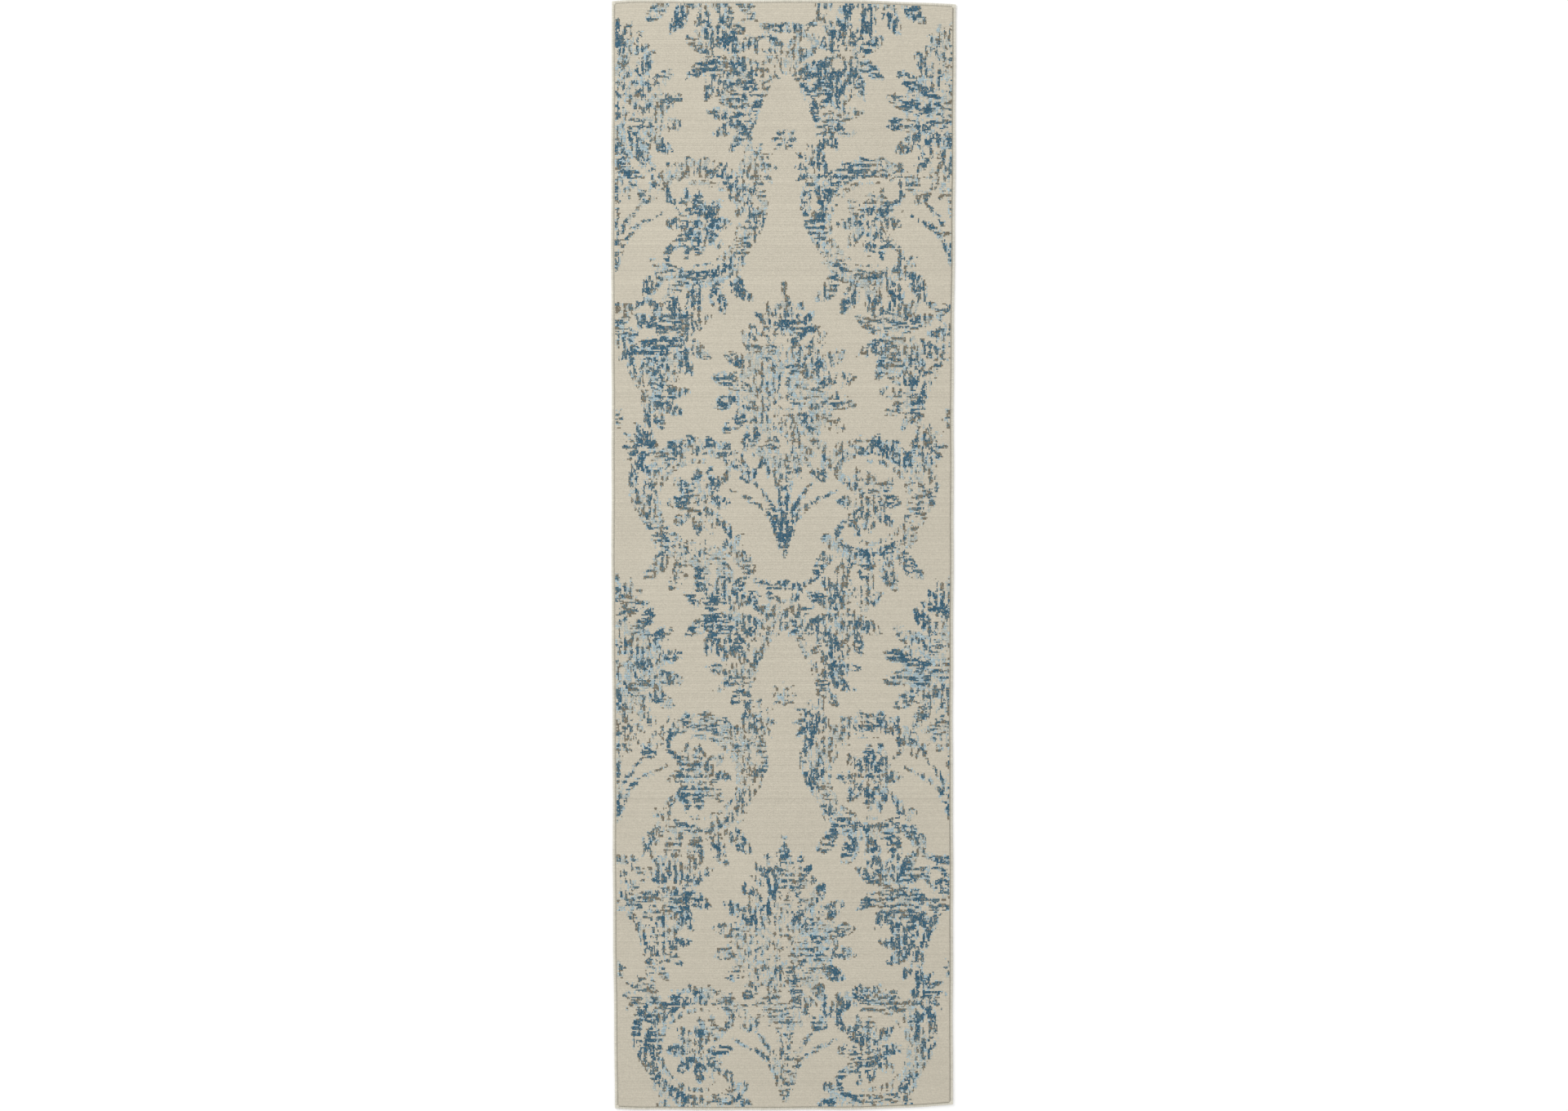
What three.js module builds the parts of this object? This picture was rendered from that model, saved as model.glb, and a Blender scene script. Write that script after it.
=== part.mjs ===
// A long narrow woven rug: cut pile on a woven ground with a thin back coat, and a yarn serging
// wrapped round a filler cord on all four sides. Millimetres, +Z up. The origin is the middle of
// the underside, X runs across the rug and Y along it, with the head end at +Y.
import * as THREE from 'three';

// Overall size, over the serging.
const RUG_WIDTH = 686;
const RUG_LENGTH = 2232;

// The layers, from the floor up.
const COAT_THICKNESS = 0.8;
const GROUND_THICKNESS = 2.0;
const PILE_HEIGHT = 6.2;

// The serging: yarn wound round a filler cord and over the trimmed edge of the ground.
const CORD_RADIUS = 2.0;
const WRAP_WALL = 0.8;
const LIP_LENGTH = 1.8;
const CORNER_ROUND = 2.6;
const CORNER_CROWN = 1.0;

// The seam that holds the serging, in the groove between the serging and the pile.
const THREAD_DIAMETER = 0.8;
const THREAD_GAP = 0.35;

// Room between pieces that touch through a few loose fibres.
const CLEARANCE = 0.3;

// Sides of the round sections.
const CORD_SIDES = 16;
const THREAD_SIDES = 8;
const BEAD_STEPS = 9;
const CORNER_STEPS = 6;
const CROWN_STEPS = 3;

// What follows from those sizes. An inset is measured inwards from the rug's outer edge.
const CAVITY_RADIUS = CORD_RADIUS + CLEARANCE;
const BEAD_RADIUS = CAVITY_RADIUS + WRAP_WALL;
const BINDING_WIDTH = 2 * BEAD_RADIUS + LIP_LENGTH;
const GROUND_TOP = COAT_THICKNESS + GROUND_THICKNESS;
const LIP_UNDERSIDE = GROUND_TOP + CLEARANCE;
const LIP_TOP = LIP_UNDERSIDE + WRAP_WALL;
const GROUND_INSET = BEAD_RADIUS + CAVITY_RADIUS;
const COAT_INSET = BINDING_WIDTH + CLEARANCE;
const THREAD_INSET = BINDING_WIDTH + THREAD_GAP + THREAD_DIAMETER / 2;
const PILE_INSET = BINDING_WIDTH + 2 * THREAD_GAP + THREAD_DIAMETER;
const RUN_INSET = BINDING_WIDTH + CLEARANCE;

const COLOURS = {
  pile: 0xcbc5b4,
  ground: 0xb9ad8f,
  coat: 0xd8d2c2,
  serging: 0xd2ccbc,
  cord: 0xe3dfd2,
  thread: 0xc4bda8,
};

const rug = new THREE.Group();

/** A fabric finish of one colour. */
function cloth(colour, roughness = 0.95) {
  return new THREE.MeshStandardMaterial({ color: colour, roughness, metalness: 0 });
}

/** Adds one named piece to the rug, or to a group inside it. */
function addPiece(name, geometry, material, parent = rug) {
  const mesh = new THREE.Mesh(geometry, material);
  mesh.name = name;
  parent.add(mesh);
  return mesh;
}

/** A flat layer with its outer edges inset from the rug's edges, and square notches at its corners. */
function layer(inset, bottom, thickness, notch = 0) {
  const x = RUG_WIDTH / 2 - inset;
  const y = RUG_LENGTH / 2 - inset;
  const outline = new THREE.Shape();
  outline.moveTo(-x + notch, -y);
  outline.lineTo(x - notch, -y);
  if (notch > 0) {
    outline.lineTo(x - notch, -y + notch);
  }
  outline.lineTo(x, -y + notch);
  outline.lineTo(x, y - notch);
  if (notch > 0) {
    outline.lineTo(x - notch, y - notch);
  }
  outline.lineTo(x - notch, y);
  outline.lineTo(-x + notch, y);
  if (notch > 0) {
    outline.lineTo(-x + notch, y - notch);
  }
  outline.lineTo(-x, y - notch);
  outline.lineTo(-x, -y + notch);
  if (notch > 0) {
    outline.lineTo(-x + notch, -y + notch);
  }
  const geometry = new THREE.ExtrudeGeometry(outline, { depth: thickness, bevelEnabled: false });
  return geometry.translate(0, 0, bottom);
}

/** Points on an arc in a section, from one angle to another, in radians. */
function arc(centreInset, centreHeight, radius, from, to, steps) {
  const points = [];
  for (let i = 0; i <= steps; i += 1) {
    const angle = from + ((to - from) * i) / steps;
    points.push([centreInset + radius * Math.cos(angle), centreHeight + radius * Math.sin(angle)]);
  }
  return points;
}

/**
 * The serging's section, as inset and height. Its bead is round over the cord, its lower lip runs
 * under the ground flush with the back coat, and its upper lip lies on the ground.
 */
function sergingSection() {
  const outerStart = Math.asin((LIP_TOP - BEAD_RADIUS) / BEAD_RADIUS);
  const innerStart = Math.asin((LIP_UNDERSIDE - BEAD_RADIUS) / CAVITY_RADIUS);
  const down = 1.5 * Math.PI;
  return [
    [BINDING_WIDTH, LIP_TOP],
    ...arc(BEAD_RADIUS, BEAD_RADIUS, BEAD_RADIUS, outerStart, down, 2 * BEAD_STEPS),
    [BINDING_WIDTH, 0],
    [BINDING_WIDTH, COAT_THICKNESS],
    [GROUND_INSET, COAT_THICKNESS],
    ...arc(BEAD_RADIUS, BEAD_RADIUS, CAVITY_RADIUS, innerStart, down, 2 * BEAD_STEPS).reverse(),
    [BINDING_WIDTH, LIP_UNDERSIDE],
  ];
}

/** A closed ring of points round a centre in a section, with a flat side at the bottom. */
function ringSection(centreInset, centreHeight, radius, sides) {
  const half = Math.PI / sides;
  const points = arc(centreInset, centreHeight, radius / Math.cos(half), -Math.PI / 2 + half,
    1.5 * Math.PI - half, sides - 1);
  return points;
}

/**
 * A section carried along one side of the rug. The section's inset runs inwards from the edge, and
 * the run is centred on the side, so that turning it puts it on any of the four sides.
 */
function run(section, length, edgeDistance) {
  const outline = new THREE.Shape(section.map(([inset, height]) => new THREE.Vector2(-inset, height)));
  const geometry = new THREE.ExtrudeGeometry(outline, { depth: length, bevelEnabled: false });
  geometry.rotateX(Math.PI / 2);
  return geometry.translate(edgeDistance, length / 2, 0);
}

/** One corner of the serging: a whipped block with a rounded outer corner and a crowned top. */
function cornerBlock() {
  const side = BINDING_WIDTH;
  const inner = side - CORNER_CROWN;
  const outline = new THREE.Shape();
  outline.moveTo(CORNER_CROWN, CORNER_CROWN);
  outline.lineTo(inner, CORNER_CROWN);
  outline.lineTo(inner, inner - CORNER_ROUND);
  outline.absarc(inner - CORNER_ROUND, inner - CORNER_ROUND, CORNER_ROUND, 0, Math.PI / 2, false);
  outline.lineTo(CORNER_CROWN, inner);
  const geometry = new THREE.ExtrudeGeometry(outline, {
    depth: 2 * BEAD_RADIUS - 2 * CORNER_CROWN,
    curveSegments: CORNER_STEPS,
    bevelEnabled: true,
    bevelThickness: CORNER_CROWN,
    bevelSize: CORNER_CROWN,
    bevelSegments: CROWN_STEPS,
  });
  return geometry.translate(-side, -side, CORNER_CROWN);
}

/** The three layers: back coat, woven ground and cut pile. */
function addLayers() {
  addPiece('back_coat', layer(COAT_INSET, 0, COAT_THICKNESS), cloth(COLOURS.coat, 0.8));
  const notch = COAT_INSET - GROUND_INSET;
  addPiece('ground_weave', layer(GROUND_INSET, COAT_THICKNESS, GROUND_THICKNESS, notch),
    cloth(COLOURS.ground));
  addPiece('pile_field', layer(PILE_INSET, GROUND_TOP, PILE_HEIGHT), cloth(COLOURS.pile));
}

/** The serging, its filler cord and its seam thread on one side of the rug. */
function addSide(name, turn, edgeDistance, sideLength) {
  const side = new THREE.Group();
  side.rotation.z = turn;
  rug.add(side);
  const runLength = sideLength - 2 * RUN_INSET;
  const cord = ringSection(BEAD_RADIUS, BEAD_RADIUS, CORD_RADIUS, CORD_SIDES);
  const threadHeight = GROUND_TOP + THREAD_DIAMETER / 2;
  const thread = ringSection(THREAD_INSET, threadHeight, THREAD_DIAMETER / 2, THREAD_SIDES);
  const threadLength = sideLength - 2 * (THREAD_INSET + THREAD_DIAMETER / 2 + THREAD_GAP);
  addPiece(`serging_${name}`, run(sergingSection(), runLength, edgeDistance),
    cloth(COLOURS.serging), side);
  addPiece(`filler_cord_${name}`, run(cord, runLength, edgeDistance), cloth(COLOURS.cord), side);
  addPiece(`seam_thread_${name}`, run(thread, threadLength, edgeDistance),
    cloth(COLOURS.thread, 0.7), side);
}

/** One whipped corner, placed by the quarter turn that brings it there. */
function addCorner(name, x, y, turn) {
  const corner = addPiece(`corner_whip_${name}`, cornerBlock(), cloth(COLOURS.serging));
  corner.rotation.z = turn;
  corner.position.set((x * RUG_WIDTH) / 2, (y * RUG_LENGTH) / 2, 0);
}

addLayers();
addSide('right', 0, RUG_WIDTH / 2, RUG_LENGTH);
addSide('head', Math.PI / 2, RUG_LENGTH / 2, RUG_WIDTH);
addSide('left', Math.PI, RUG_WIDTH / 2, RUG_LENGTH);
addSide('foot', -Math.PI / 2, RUG_LENGTH / 2, RUG_WIDTH);
addCorner('head_right', 1, 1, 0);
addCorner('head_left', -1, 1, Math.PI / 2);
addCorner('foot_left', -1, -1, Math.PI);
addCorner('foot_right', 1, -1, -Math.PI / 2);

export default rug;
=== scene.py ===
"""The looks of a long narrow cut-pile rug with a worn damask figure.

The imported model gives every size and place. Round it this script lays the pile as tufts of dyed
yarn, the woven ground, the sized back, the wound serging with its plied cord, and the stitches
that hold the serging down. Lengths are in metres, apart from the drawing of the figure, which is
in millimetres.
"""
from __future__ import annotations

import logging
from dataclasses import dataclass, field
from enum import Enum, IntEnum
from itertools import product

import bpy
import numpy as np
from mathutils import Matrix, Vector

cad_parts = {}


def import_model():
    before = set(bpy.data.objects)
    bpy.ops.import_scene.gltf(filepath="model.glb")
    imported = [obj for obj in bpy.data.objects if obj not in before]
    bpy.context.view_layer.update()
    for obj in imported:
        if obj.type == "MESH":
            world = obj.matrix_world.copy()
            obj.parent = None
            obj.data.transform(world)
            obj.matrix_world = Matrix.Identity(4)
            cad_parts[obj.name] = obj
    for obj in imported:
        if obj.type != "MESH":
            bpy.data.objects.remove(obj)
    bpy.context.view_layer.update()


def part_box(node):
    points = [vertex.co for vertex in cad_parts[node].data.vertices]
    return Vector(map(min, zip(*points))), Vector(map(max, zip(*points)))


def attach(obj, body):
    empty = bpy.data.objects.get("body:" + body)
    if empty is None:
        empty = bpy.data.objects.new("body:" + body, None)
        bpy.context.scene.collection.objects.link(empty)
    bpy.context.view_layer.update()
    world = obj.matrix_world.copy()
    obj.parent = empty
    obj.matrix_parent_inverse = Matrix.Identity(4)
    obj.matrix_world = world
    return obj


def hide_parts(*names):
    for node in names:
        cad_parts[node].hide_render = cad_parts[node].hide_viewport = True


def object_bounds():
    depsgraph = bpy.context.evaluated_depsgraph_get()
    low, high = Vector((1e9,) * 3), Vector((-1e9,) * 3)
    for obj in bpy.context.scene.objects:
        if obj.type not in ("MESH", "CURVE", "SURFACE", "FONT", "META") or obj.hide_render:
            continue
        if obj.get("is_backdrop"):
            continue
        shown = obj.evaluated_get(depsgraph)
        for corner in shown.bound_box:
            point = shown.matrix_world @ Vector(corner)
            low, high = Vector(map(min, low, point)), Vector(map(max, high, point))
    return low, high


log = logging.getLogger("runner_rug")

MM = 0.001
BODY = "root"
BAKE_MAP = "OFBake"
SHADE = "shade"
WEAVE = "weave"

Colour = tuple[float, float, float]
Point = tuple[float, float]


# ---------------------------------------------------------------- meshes


def grid_quads(rows: int, cols: int, closed: bool = False) -> np.ndarray:
    """The quads of a grid of vertices numbered row by row.

    Args:
        rows: rows of vertices.
        cols: vertices in a row.
        closed: whether each row's last vertex joins its first.

    Returns:
        An array of four vertex numbers a quad, turning the same way round.
    """
    r = np.arange(rows - 1)[:, None]
    c = np.arange(cols if closed else cols - 1)[None, :]
    right = (c + 1) % cols
    here, ahead = r * cols, (r + 1) * cols
    return np.stack([here + c, here + right, ahead + right, ahead + c], axis=-1).reshape(-1, 4)


def add_mesh(name: str, points: np.ndarray, quads: np.ndarray, caps: list[np.ndarray] = (),
             places: np.ndarray | None = None) -> bpy.types.Object:
    """Makes an object at the origin from whole arrays.

    Args:
        name: the object's name.
        points: its vertices, one row each.
        quads: its four-sided faces, as vertex numbers.
        caps: further faces of any number of sides.
        places: where each face corner lies on the bake map, from 0 to 1, quads first.

    Returns:
        The new object, smooth and linked to the scene.
    """
    mesh = bpy.data.meshes.new(name)
    corners = np.concatenate([quads.ravel(), *[np.asarray(cap) for cap in caps]])
    sides = np.concatenate([np.full(len(quads), 4), [len(cap) for cap in caps]]).astype(np.int32)
    mesh.vertices.add(len(points))
    mesh.vertices.foreach_set("co", np.ascontiguousarray(points, np.float32).ravel())
    mesh.loops.add(len(corners))
    mesh.loops.foreach_set("vertex_index", corners.astype(np.int32))
    mesh.polygons.add(len(sides))
    mesh.polygons.foreach_set("loop_start", np.concatenate([[0], np.cumsum(sides)[:-1]]))
    mesh.polygons.foreach_set("use_smooth", np.full(len(sides), True))
    mesh.update(calc_edges=True)
    mesh.validate()
    if places is not None:
        layer = mesh.uv_layers.new(name=BAKE_MAP)
        layer.data.foreach_set("uv", np.ascontiguousarray(places, np.float32).ravel())
    piece = bpy.data.objects.new(name, mesh)
    bpy.context.scene.collection.objects.link(piece)
    return piece


def folded_places(along: np.ndarray, around: np.ndarray, length: float, girth: float) -> np.ndarray:
    """Lays a long strip on the bake map, folded into rows of equal length one above the other.

    Args:
        along: how far along the strip each corner lies, four a face.
        around: how far across the strip each corner lies, four a face.
        length: the strip's length.
        girth: the strip's width.

    Returns:
        Two numbers a corner, from 0 to 1.
    """
    rows = max(1, int(np.sqrt(length / girth)))
    row = np.minimum((along.min(axis=1) / length * rows).astype(int), rows - 1)[:, None]
    across = (along / length * rows - row) * 0.96 + 0.02
    up = (row + 0.06 + 0.88 * around / girth) / rows
    return np.stack([across, up], axis=-1).reshape(-1, 2)


def swept(name: str, rings: np.ndarray, girth: float) -> bpy.types.Object:
    """A closed tube from rings of points, each a closed loop, with a cap at both ends.

    Args:
        name: the object's name.
        rings: rings by points by three.
        girth: the way round a ring, for the bake map.

    Returns:
        The tube, with its faces outwards where the rings turn left about the way they advance.
    """
    count, sides = rings.shape[:2]
    quads = grid_quads(count, sides, closed=True)
    row, side = np.divmod(np.arange((count - 1) * sides), sides)
    length = float(np.linalg.norm(np.diff(rings.mean(axis=1), axis=0), axis=1).sum())
    along = np.stack([row, row, row + 1, row + 1], axis=-1) * length / (count - 1)
    around = np.stack([side, side + 1, side + 1, side], axis=-1) * girth / sides
    places = folded_places(along, around, length, girth)
    caps = [np.arange(sides)[::-1], (count - 1) * sides + np.arange(sides)]
    turn = np.arange(sides) * 2 * np.pi / sides
    disc = 0.007 * np.stack([np.cos(turn), np.sin(turn)], axis=-1)
    spots = [disc + (0.01, 0.25), disc + (0.01, 0.75)]
    return add_mesh(name, rings.reshape(-1, 3), quads, caps, np.vstack([places, *spots]))


# ---------------------------------------------------------------- node trees


@dataclass
class Nodes:
    """A node tree under construction."""

    tree: bpy.types.NodeTree

    def add(self, kind: str, inputs: dict[int | str, object] | None = None,
            **options: object) -> bpy.types.Node:
        """Adds a node.

        Args:
            kind: the node's type, without its ShaderNode prefix where it has one.
            inputs: a value or an output socket for each input, by name or place.
            options: the node's own settings.

        Returns:
            The node.
        """
        full = kind if kind.startswith("NodeGroup") else "ShaderNode" + kind
        node = self.tree.nodes.new(full)
        for key, value in options.items():
            setattr(node, key, value)
        for key, value in (inputs or {}).items():
            self.feed(node.inputs[key], value)
        return node

    def feed(self, socket: bpy.types.NodeSocket, value: object) -> None:
        """Links an output socket to an input, or sets the input's value."""
        if isinstance(value, bpy.types.NodeSocket):
            self.tree.links.new(value, socket)
        else:
            socket.default_value = value

    def math(self, operation: str, a: object, b: object = 0.0, c: object = 0.0) -> object:
        """The result of one Math node."""
        return self.add("Math", {0: a, 1: b, 2: c}, operation=operation).outputs[0]

    def mix(self, share: object, a: object, b: object, blend_type: str = "MIX") -> object:
        """The result of one colour Mix node.

        Args:
            share: how much of the second colour shows.
            a: the first colour.
            b: the second.
            blend_type: how they are mixed.

        Returns:
            The output socket.
        """
        node = self.add("Mix", data_type="RGBA", blend_type=blend_type)
        for slot, value in ((0, share), (6, a), (7, b)):
            self.feed(node.inputs[slot], value)
        return node.outputs[2]

    def gained(self, colour: object, gain: object) -> object:
        """A colour multiplied by a grey gain."""
        grey = self.add("CombineColor", {0: gain, 1: gain, 2: gain}).outputs[0]
        return self.mix(1.0, colour, grey, "MULTIPLY")

    def shade(self) -> object:
        """The gain that the piece's vertices carry: one and their shade."""
        stored = self.add("Attribute", attribute_name=SHADE).outputs["Fac"]
        return self.math("ADD", stored, 1.0)

    def arch(self, turns: object) -> object:
        """A row of arches, one to each whole number: the size of the sine of pi times it."""
        return self.math("ABSOLUTE", self.math("SINE", self.math("MULTIPLY", turns, np.pi)))

    def noise(self, where: object, scale: float, detail: float = 2.0, rough: float = 0.5) -> object:
        """The value of one Noise Texture."""
        return self.add("TexNoise", {"Vector": where, "Scale": scale, "Detail": detail,
                                     "Roughness": rough}).outputs[0]

    def group(self, tree: bpy.types.NodeTree, inputs: dict[str, object]) -> bpy.types.Node:
        """Places a node group.

        Args:
            tree: the group.
            inputs: a value or an output socket for each input.

        Returns:
            The node that holds it.
        """
        node = self.add("Group")
        node.node_tree = tree
        for key, value in inputs.items():
            self.feed(node.inputs[key], value)
        return node


def new_material(name: str) -> tuple[bpy.types.Material, Nodes, bpy.types.Node]:
    """Starts a material, and gives it with its node tree and its shader."""
    made = bpy.data.materials.new(name)
    made.use_nodes = True
    return made, Nodes(made.node_tree), made.node_tree.nodes["Principled BSDF"]


def linear(red: int, green: int, blue: int) -> Colour:
    """A display colour, from 0 to 255, as linear light."""
    shown = np.array([red, green, blue]) / 255
    return tuple(np.where(shown <= 0.04045, shown / 12.92, ((shown + 0.055) / 1.055) ** 2.4))


def new_group(name: str, inputs: dict[str, tuple[str, object]],
              outputs: dict[str, str]) -> tuple[Nodes, bpy.types.Node, bpy.types.Node]:
    """Starts a shader node group.

    Args:
        name: the group's name.
        inputs: each input's socket type and default.
        outputs: each output's socket type.

    Returns:
        The tree to build in, and its input and output nodes.
    """
    tree = bpy.data.node_groups.new(name, "ShaderNodeTree")
    for key, (kind, value) in inputs.items():
        socket = tree.interface.new_socket(key, in_out="INPUT", socket_type="NodeSocket" + kind)
        socket.default_value = value
    for key, kind in outputs.items():
        tree.interface.new_socket(key, in_out="OUTPUT", socket_type="NodeSocket" + kind)
    nodes = Nodes(tree)
    return nodes, nodes.add("NodeGroupInput"), nodes.add("NodeGroupOutput")


@dataclass
class Effects:
    """The shader node groups that the finishes share, each built once."""

    heather: bpy.types.NodeTree
    tufts: bpy.types.NodeTree
    ribs: bpy.types.NodeTree

    @classmethod
    def build(cls) -> Effects:
        """Builds every group."""
        return cls(cls.build_heather(), cls.build_tufts(), cls.build_ribs())

    @staticmethod
    def build_heather() -> bpy.types.NodeTree:
        """Uneven dye: a colour made lighter and darker by fibre, by tuft and in broad patches."""
        nodes, given, result = new_group(
            "yarn_heather",
            {"Color": ("Color", (0.5, 0.5, 0.5, 1)), "Fibre": ("Float", 0.1),
             "Tuft": ("Float", 0.1), "Patch": ("Float", 0.05)},
            {"Color": "Color", "Height": "Float"})
        where = nodes.add("TexCoord").outputs["Object"]
        fibre = nodes.noise(where, 1400.0, 2.0, 0.7)
        tuft = nodes.noise(where, 310.0, 1.0, 0.5)
        patch = nodes.noise(where, 9.0, 3.0, 0.55)
        gain = 1.0
        for noise, name in ((fibre, "Fibre"), (tuft, "Tuft"), (patch, "Patch")):
            swing = nodes.math("MULTIPLY", nodes.math("SUBTRACT", noise, 0.5), 2.0)
            gain = nodes.math("MULTIPLY_ADD", swing, given.outputs[name], gain)
        nodes.feed(result.inputs["Color"], nodes.gained(given.outputs["Color"], gain))
        nodes.feed(result.inputs["Height"], nodes.math("MULTIPLY_ADD", tuft, 0.6, fibre))
        return nodes.tree

    @staticmethod
    def build_tufts() -> bpy.types.NodeTree:
        """Rows of tufts: a crown for each tuft, every row slid along by its own amount, and a profile
        for painted shade between tufts.
        """
        nodes, given, result = new_group(
            "tuft_rows", {"Tufts": ("Vector", (0, 0, 0)), "Wander": ("Float", 0.3)},
            {"Height": "Float", "Line": "Float", "Tone": "Float"})
        drift = nodes.noise(given.outputs["Tufts"], 0.9, 2.0, 0.7)
        drift = nodes.math("MULTIPLY", nodes.math("SUBTRACT", drift, 0.5), given.outputs["Wander"])
        axes = nodes.add("SeparateXYZ", {0: given.outputs["Tufts"]})
        row = nodes.math("ADD", axes.outputs["Y"], nodes.math("MULTIPLY", drift, 0.4))
        which = nodes.math("FLOOR", axes.outputs["Y"])
        slide = nodes.add("TexWhiteNoise", {"W": which}, noise_dimensions="1D").outputs["Value"]
        col = nodes.math("ADD", nodes.math("ADD", axes.outputs["X"], slide), drift)
        ridge, crown = (nodes.math("POWER", nodes.arch(count), 0.6) for count in (row, col))
        crown = nodes.math("MULTIPLY_ADD", crown, 0.45, 0.55)
        tall = nodes.math("MULTIPLY", ridge, crown)
        tuft = nodes.add("CombineXYZ", {0: nodes.math("FLOOR", col), 1: which})
        tone = nodes.add("TexWhiteNoise", {"Vector": tuft.outputs[0]},
                         noise_dimensions="2D").outputs["Value"]
        nodes.feed(result.inputs["Height"], tall)
        # Line: the tuft profile that the pile finish uses to paint shade between tufts.
        nodes.feed(result.inputs["Line"], nodes.math("POWER", tall, 0.5))
        nodes.feed(result.inputs["Tone"], nodes.math("SUBTRACT", tone, 0.5))
        return nodes.tree

    @staticmethod
    def build_ribs() -> bpy.types.NodeTree:
        """A plain weave: crossing ribs that pass over and under, as a height and a mask of warps."""
        nodes, given, result = new_group(
            "weave_ribs", {"Across": ("Float", 0.003), "Along": ("Float", 0.0025)},
            {"Height": "Float", "Warp": "Float"})
        where = nodes.add("TexCoord").outputs["Object"]
        axes = nodes.add("SeparateXYZ", {0: where})
        ribs = [nodes.math("DIVIDE", axes.outputs[axis], given.outputs[pitch])
                for axis, pitch in (("X", "Across"), ("Y", "Along"))]
        sines = [nodes.math("SINE", nodes.math("MULTIPLY", rib, np.pi)) for rib in ribs]
        warp = nodes.math("MULTIPLY_ADD", nodes.math("MULTIPLY", *sines), 0.5, 0.5)
        weft = nodes.math("ABSOLUTE", sines[1])
        nodes.feed(result.inputs["Height"], nodes.math("MULTIPLY_ADD", weft, 0.7, warp))
        nodes.feed(result.inputs["Warp"], nodes.math("GREATER_THAN", warp, 0.6))
        return nodes.tree


# ---------------------------------------------------------------- finishes


@dataclass(frozen=True)
class PileFinish:
    """Cut pile of one dyed yarn.

    Attributes:
        name: the material's name.
        colour: the yarn's colour.
        fibre: how far single fibres depart from it.
        tuft: how far tufts depart from it.
        patch: how far broad patches depart from it.
        line: how dark the painted shade is in the line between two tufts, from 0 to 1.
        uneven: how far whole tufts differ from each other.
    """

    name: str
    colour: Colour
    fibre: float = 0.16
    tuft: float = 0.14
    patch: float = 0.04
    line: float = 0.2
    uneven: float = 0.12

    def build(self, effects: Effects) -> bpy.types.Material:
        """Builds the material."""
        made, nodes, shader = new_material(self.name)
        dye = nodes.group(effects.heather, {"Color": (*self.colour, 1), "Fibre": self.fibre,
                                            "Tuft": self.tuft, "Patch": self.patch})
        tufts = nodes.add("Attribute", attribute_name=WEAVE).outputs["Vector"]
        rows = nodes.group(effects.tufts, {"Tufts": tufts, "Wander": 0.35})
        # Painted shade: darker where the tuft profile is low, between tufts; then random tone and the
        # stored shade.
        dim = nodes.math("MULTIPLY_ADD", rows.outputs["Line"], self.line, 1.0 - self.line)
        tone = nodes.math("MULTIPLY_ADD", rows.outputs["Tone"], self.uneven, 1.0)
        dim = nodes.math("MULTIPLY", nodes.math("MULTIPLY", dim, tone), nodes.shade())
        nodes.feed(shader.inputs["Base Color"], nodes.gained(dye.outputs["Color"], dim))
        tall = nodes.math("MULTIPLY_ADD", dye.outputs["Height"], 0.5, rows.outputs["Height"])
        bump = nodes.add("Bump", {"Strength": 0.7, "Distance": 0.001, "Height": tall})
        nodes.feed(shader.inputs["Normal"], bump.outputs[0])
        nodes.feed(shader.inputs["Roughness"],
                   nodes.math("MULTIPLY_ADD", dye.outputs["Height"], -0.06, 0.98))
        shader.inputs["Specular IOR Level"].default_value = 0.25
        shader.inputs["Sheen Weight"].default_value = 0.12
        shader.inputs["Sheen Roughness"].default_value = 0.6
        return made


@dataclass(frozen=True)
class ThreadFinish:
    """Yarn or thread that lies wound, plied or stitched.

    Attributes:
        name: the material's name.
        colour: its colour.
        fibre: how far single fibres depart from it.
        bump: how deep its fibres are, in metres.
        rough: its roughness.
    """

    name: str
    colour: Colour
    fibre: float = 0.14
    bump: float = 0.0003
    rough: float = 0.85

    def build(self, effects: Effects) -> bpy.types.Material:
        """Builds the material."""
        made, nodes, shader = new_material(self.name)
        dye = nodes.group(effects.heather, {"Color": (*self.colour, 1), "Fibre": self.fibre,
                                            "Tuft": 0.06, "Patch": 0.04})
        nodes.feed(shader.inputs["Base Color"],
                   nodes.gained(dye.outputs["Color"], nodes.shade()))
        bump = nodes.add("Bump", {"Strength": 0.6, "Distance": self.bump,
                                  "Height": dye.outputs["Height"]})
        nodes.feed(shader.inputs["Normal"], bump.outputs[0])
        nodes.feed(shader.inputs["Roughness"],
                   nodes.math("MULTIPLY_ADD", dye.outputs["Height"], -0.08, self.rough))
        shader.inputs["Sheen Weight"].default_value = 0.1
        return made


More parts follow.
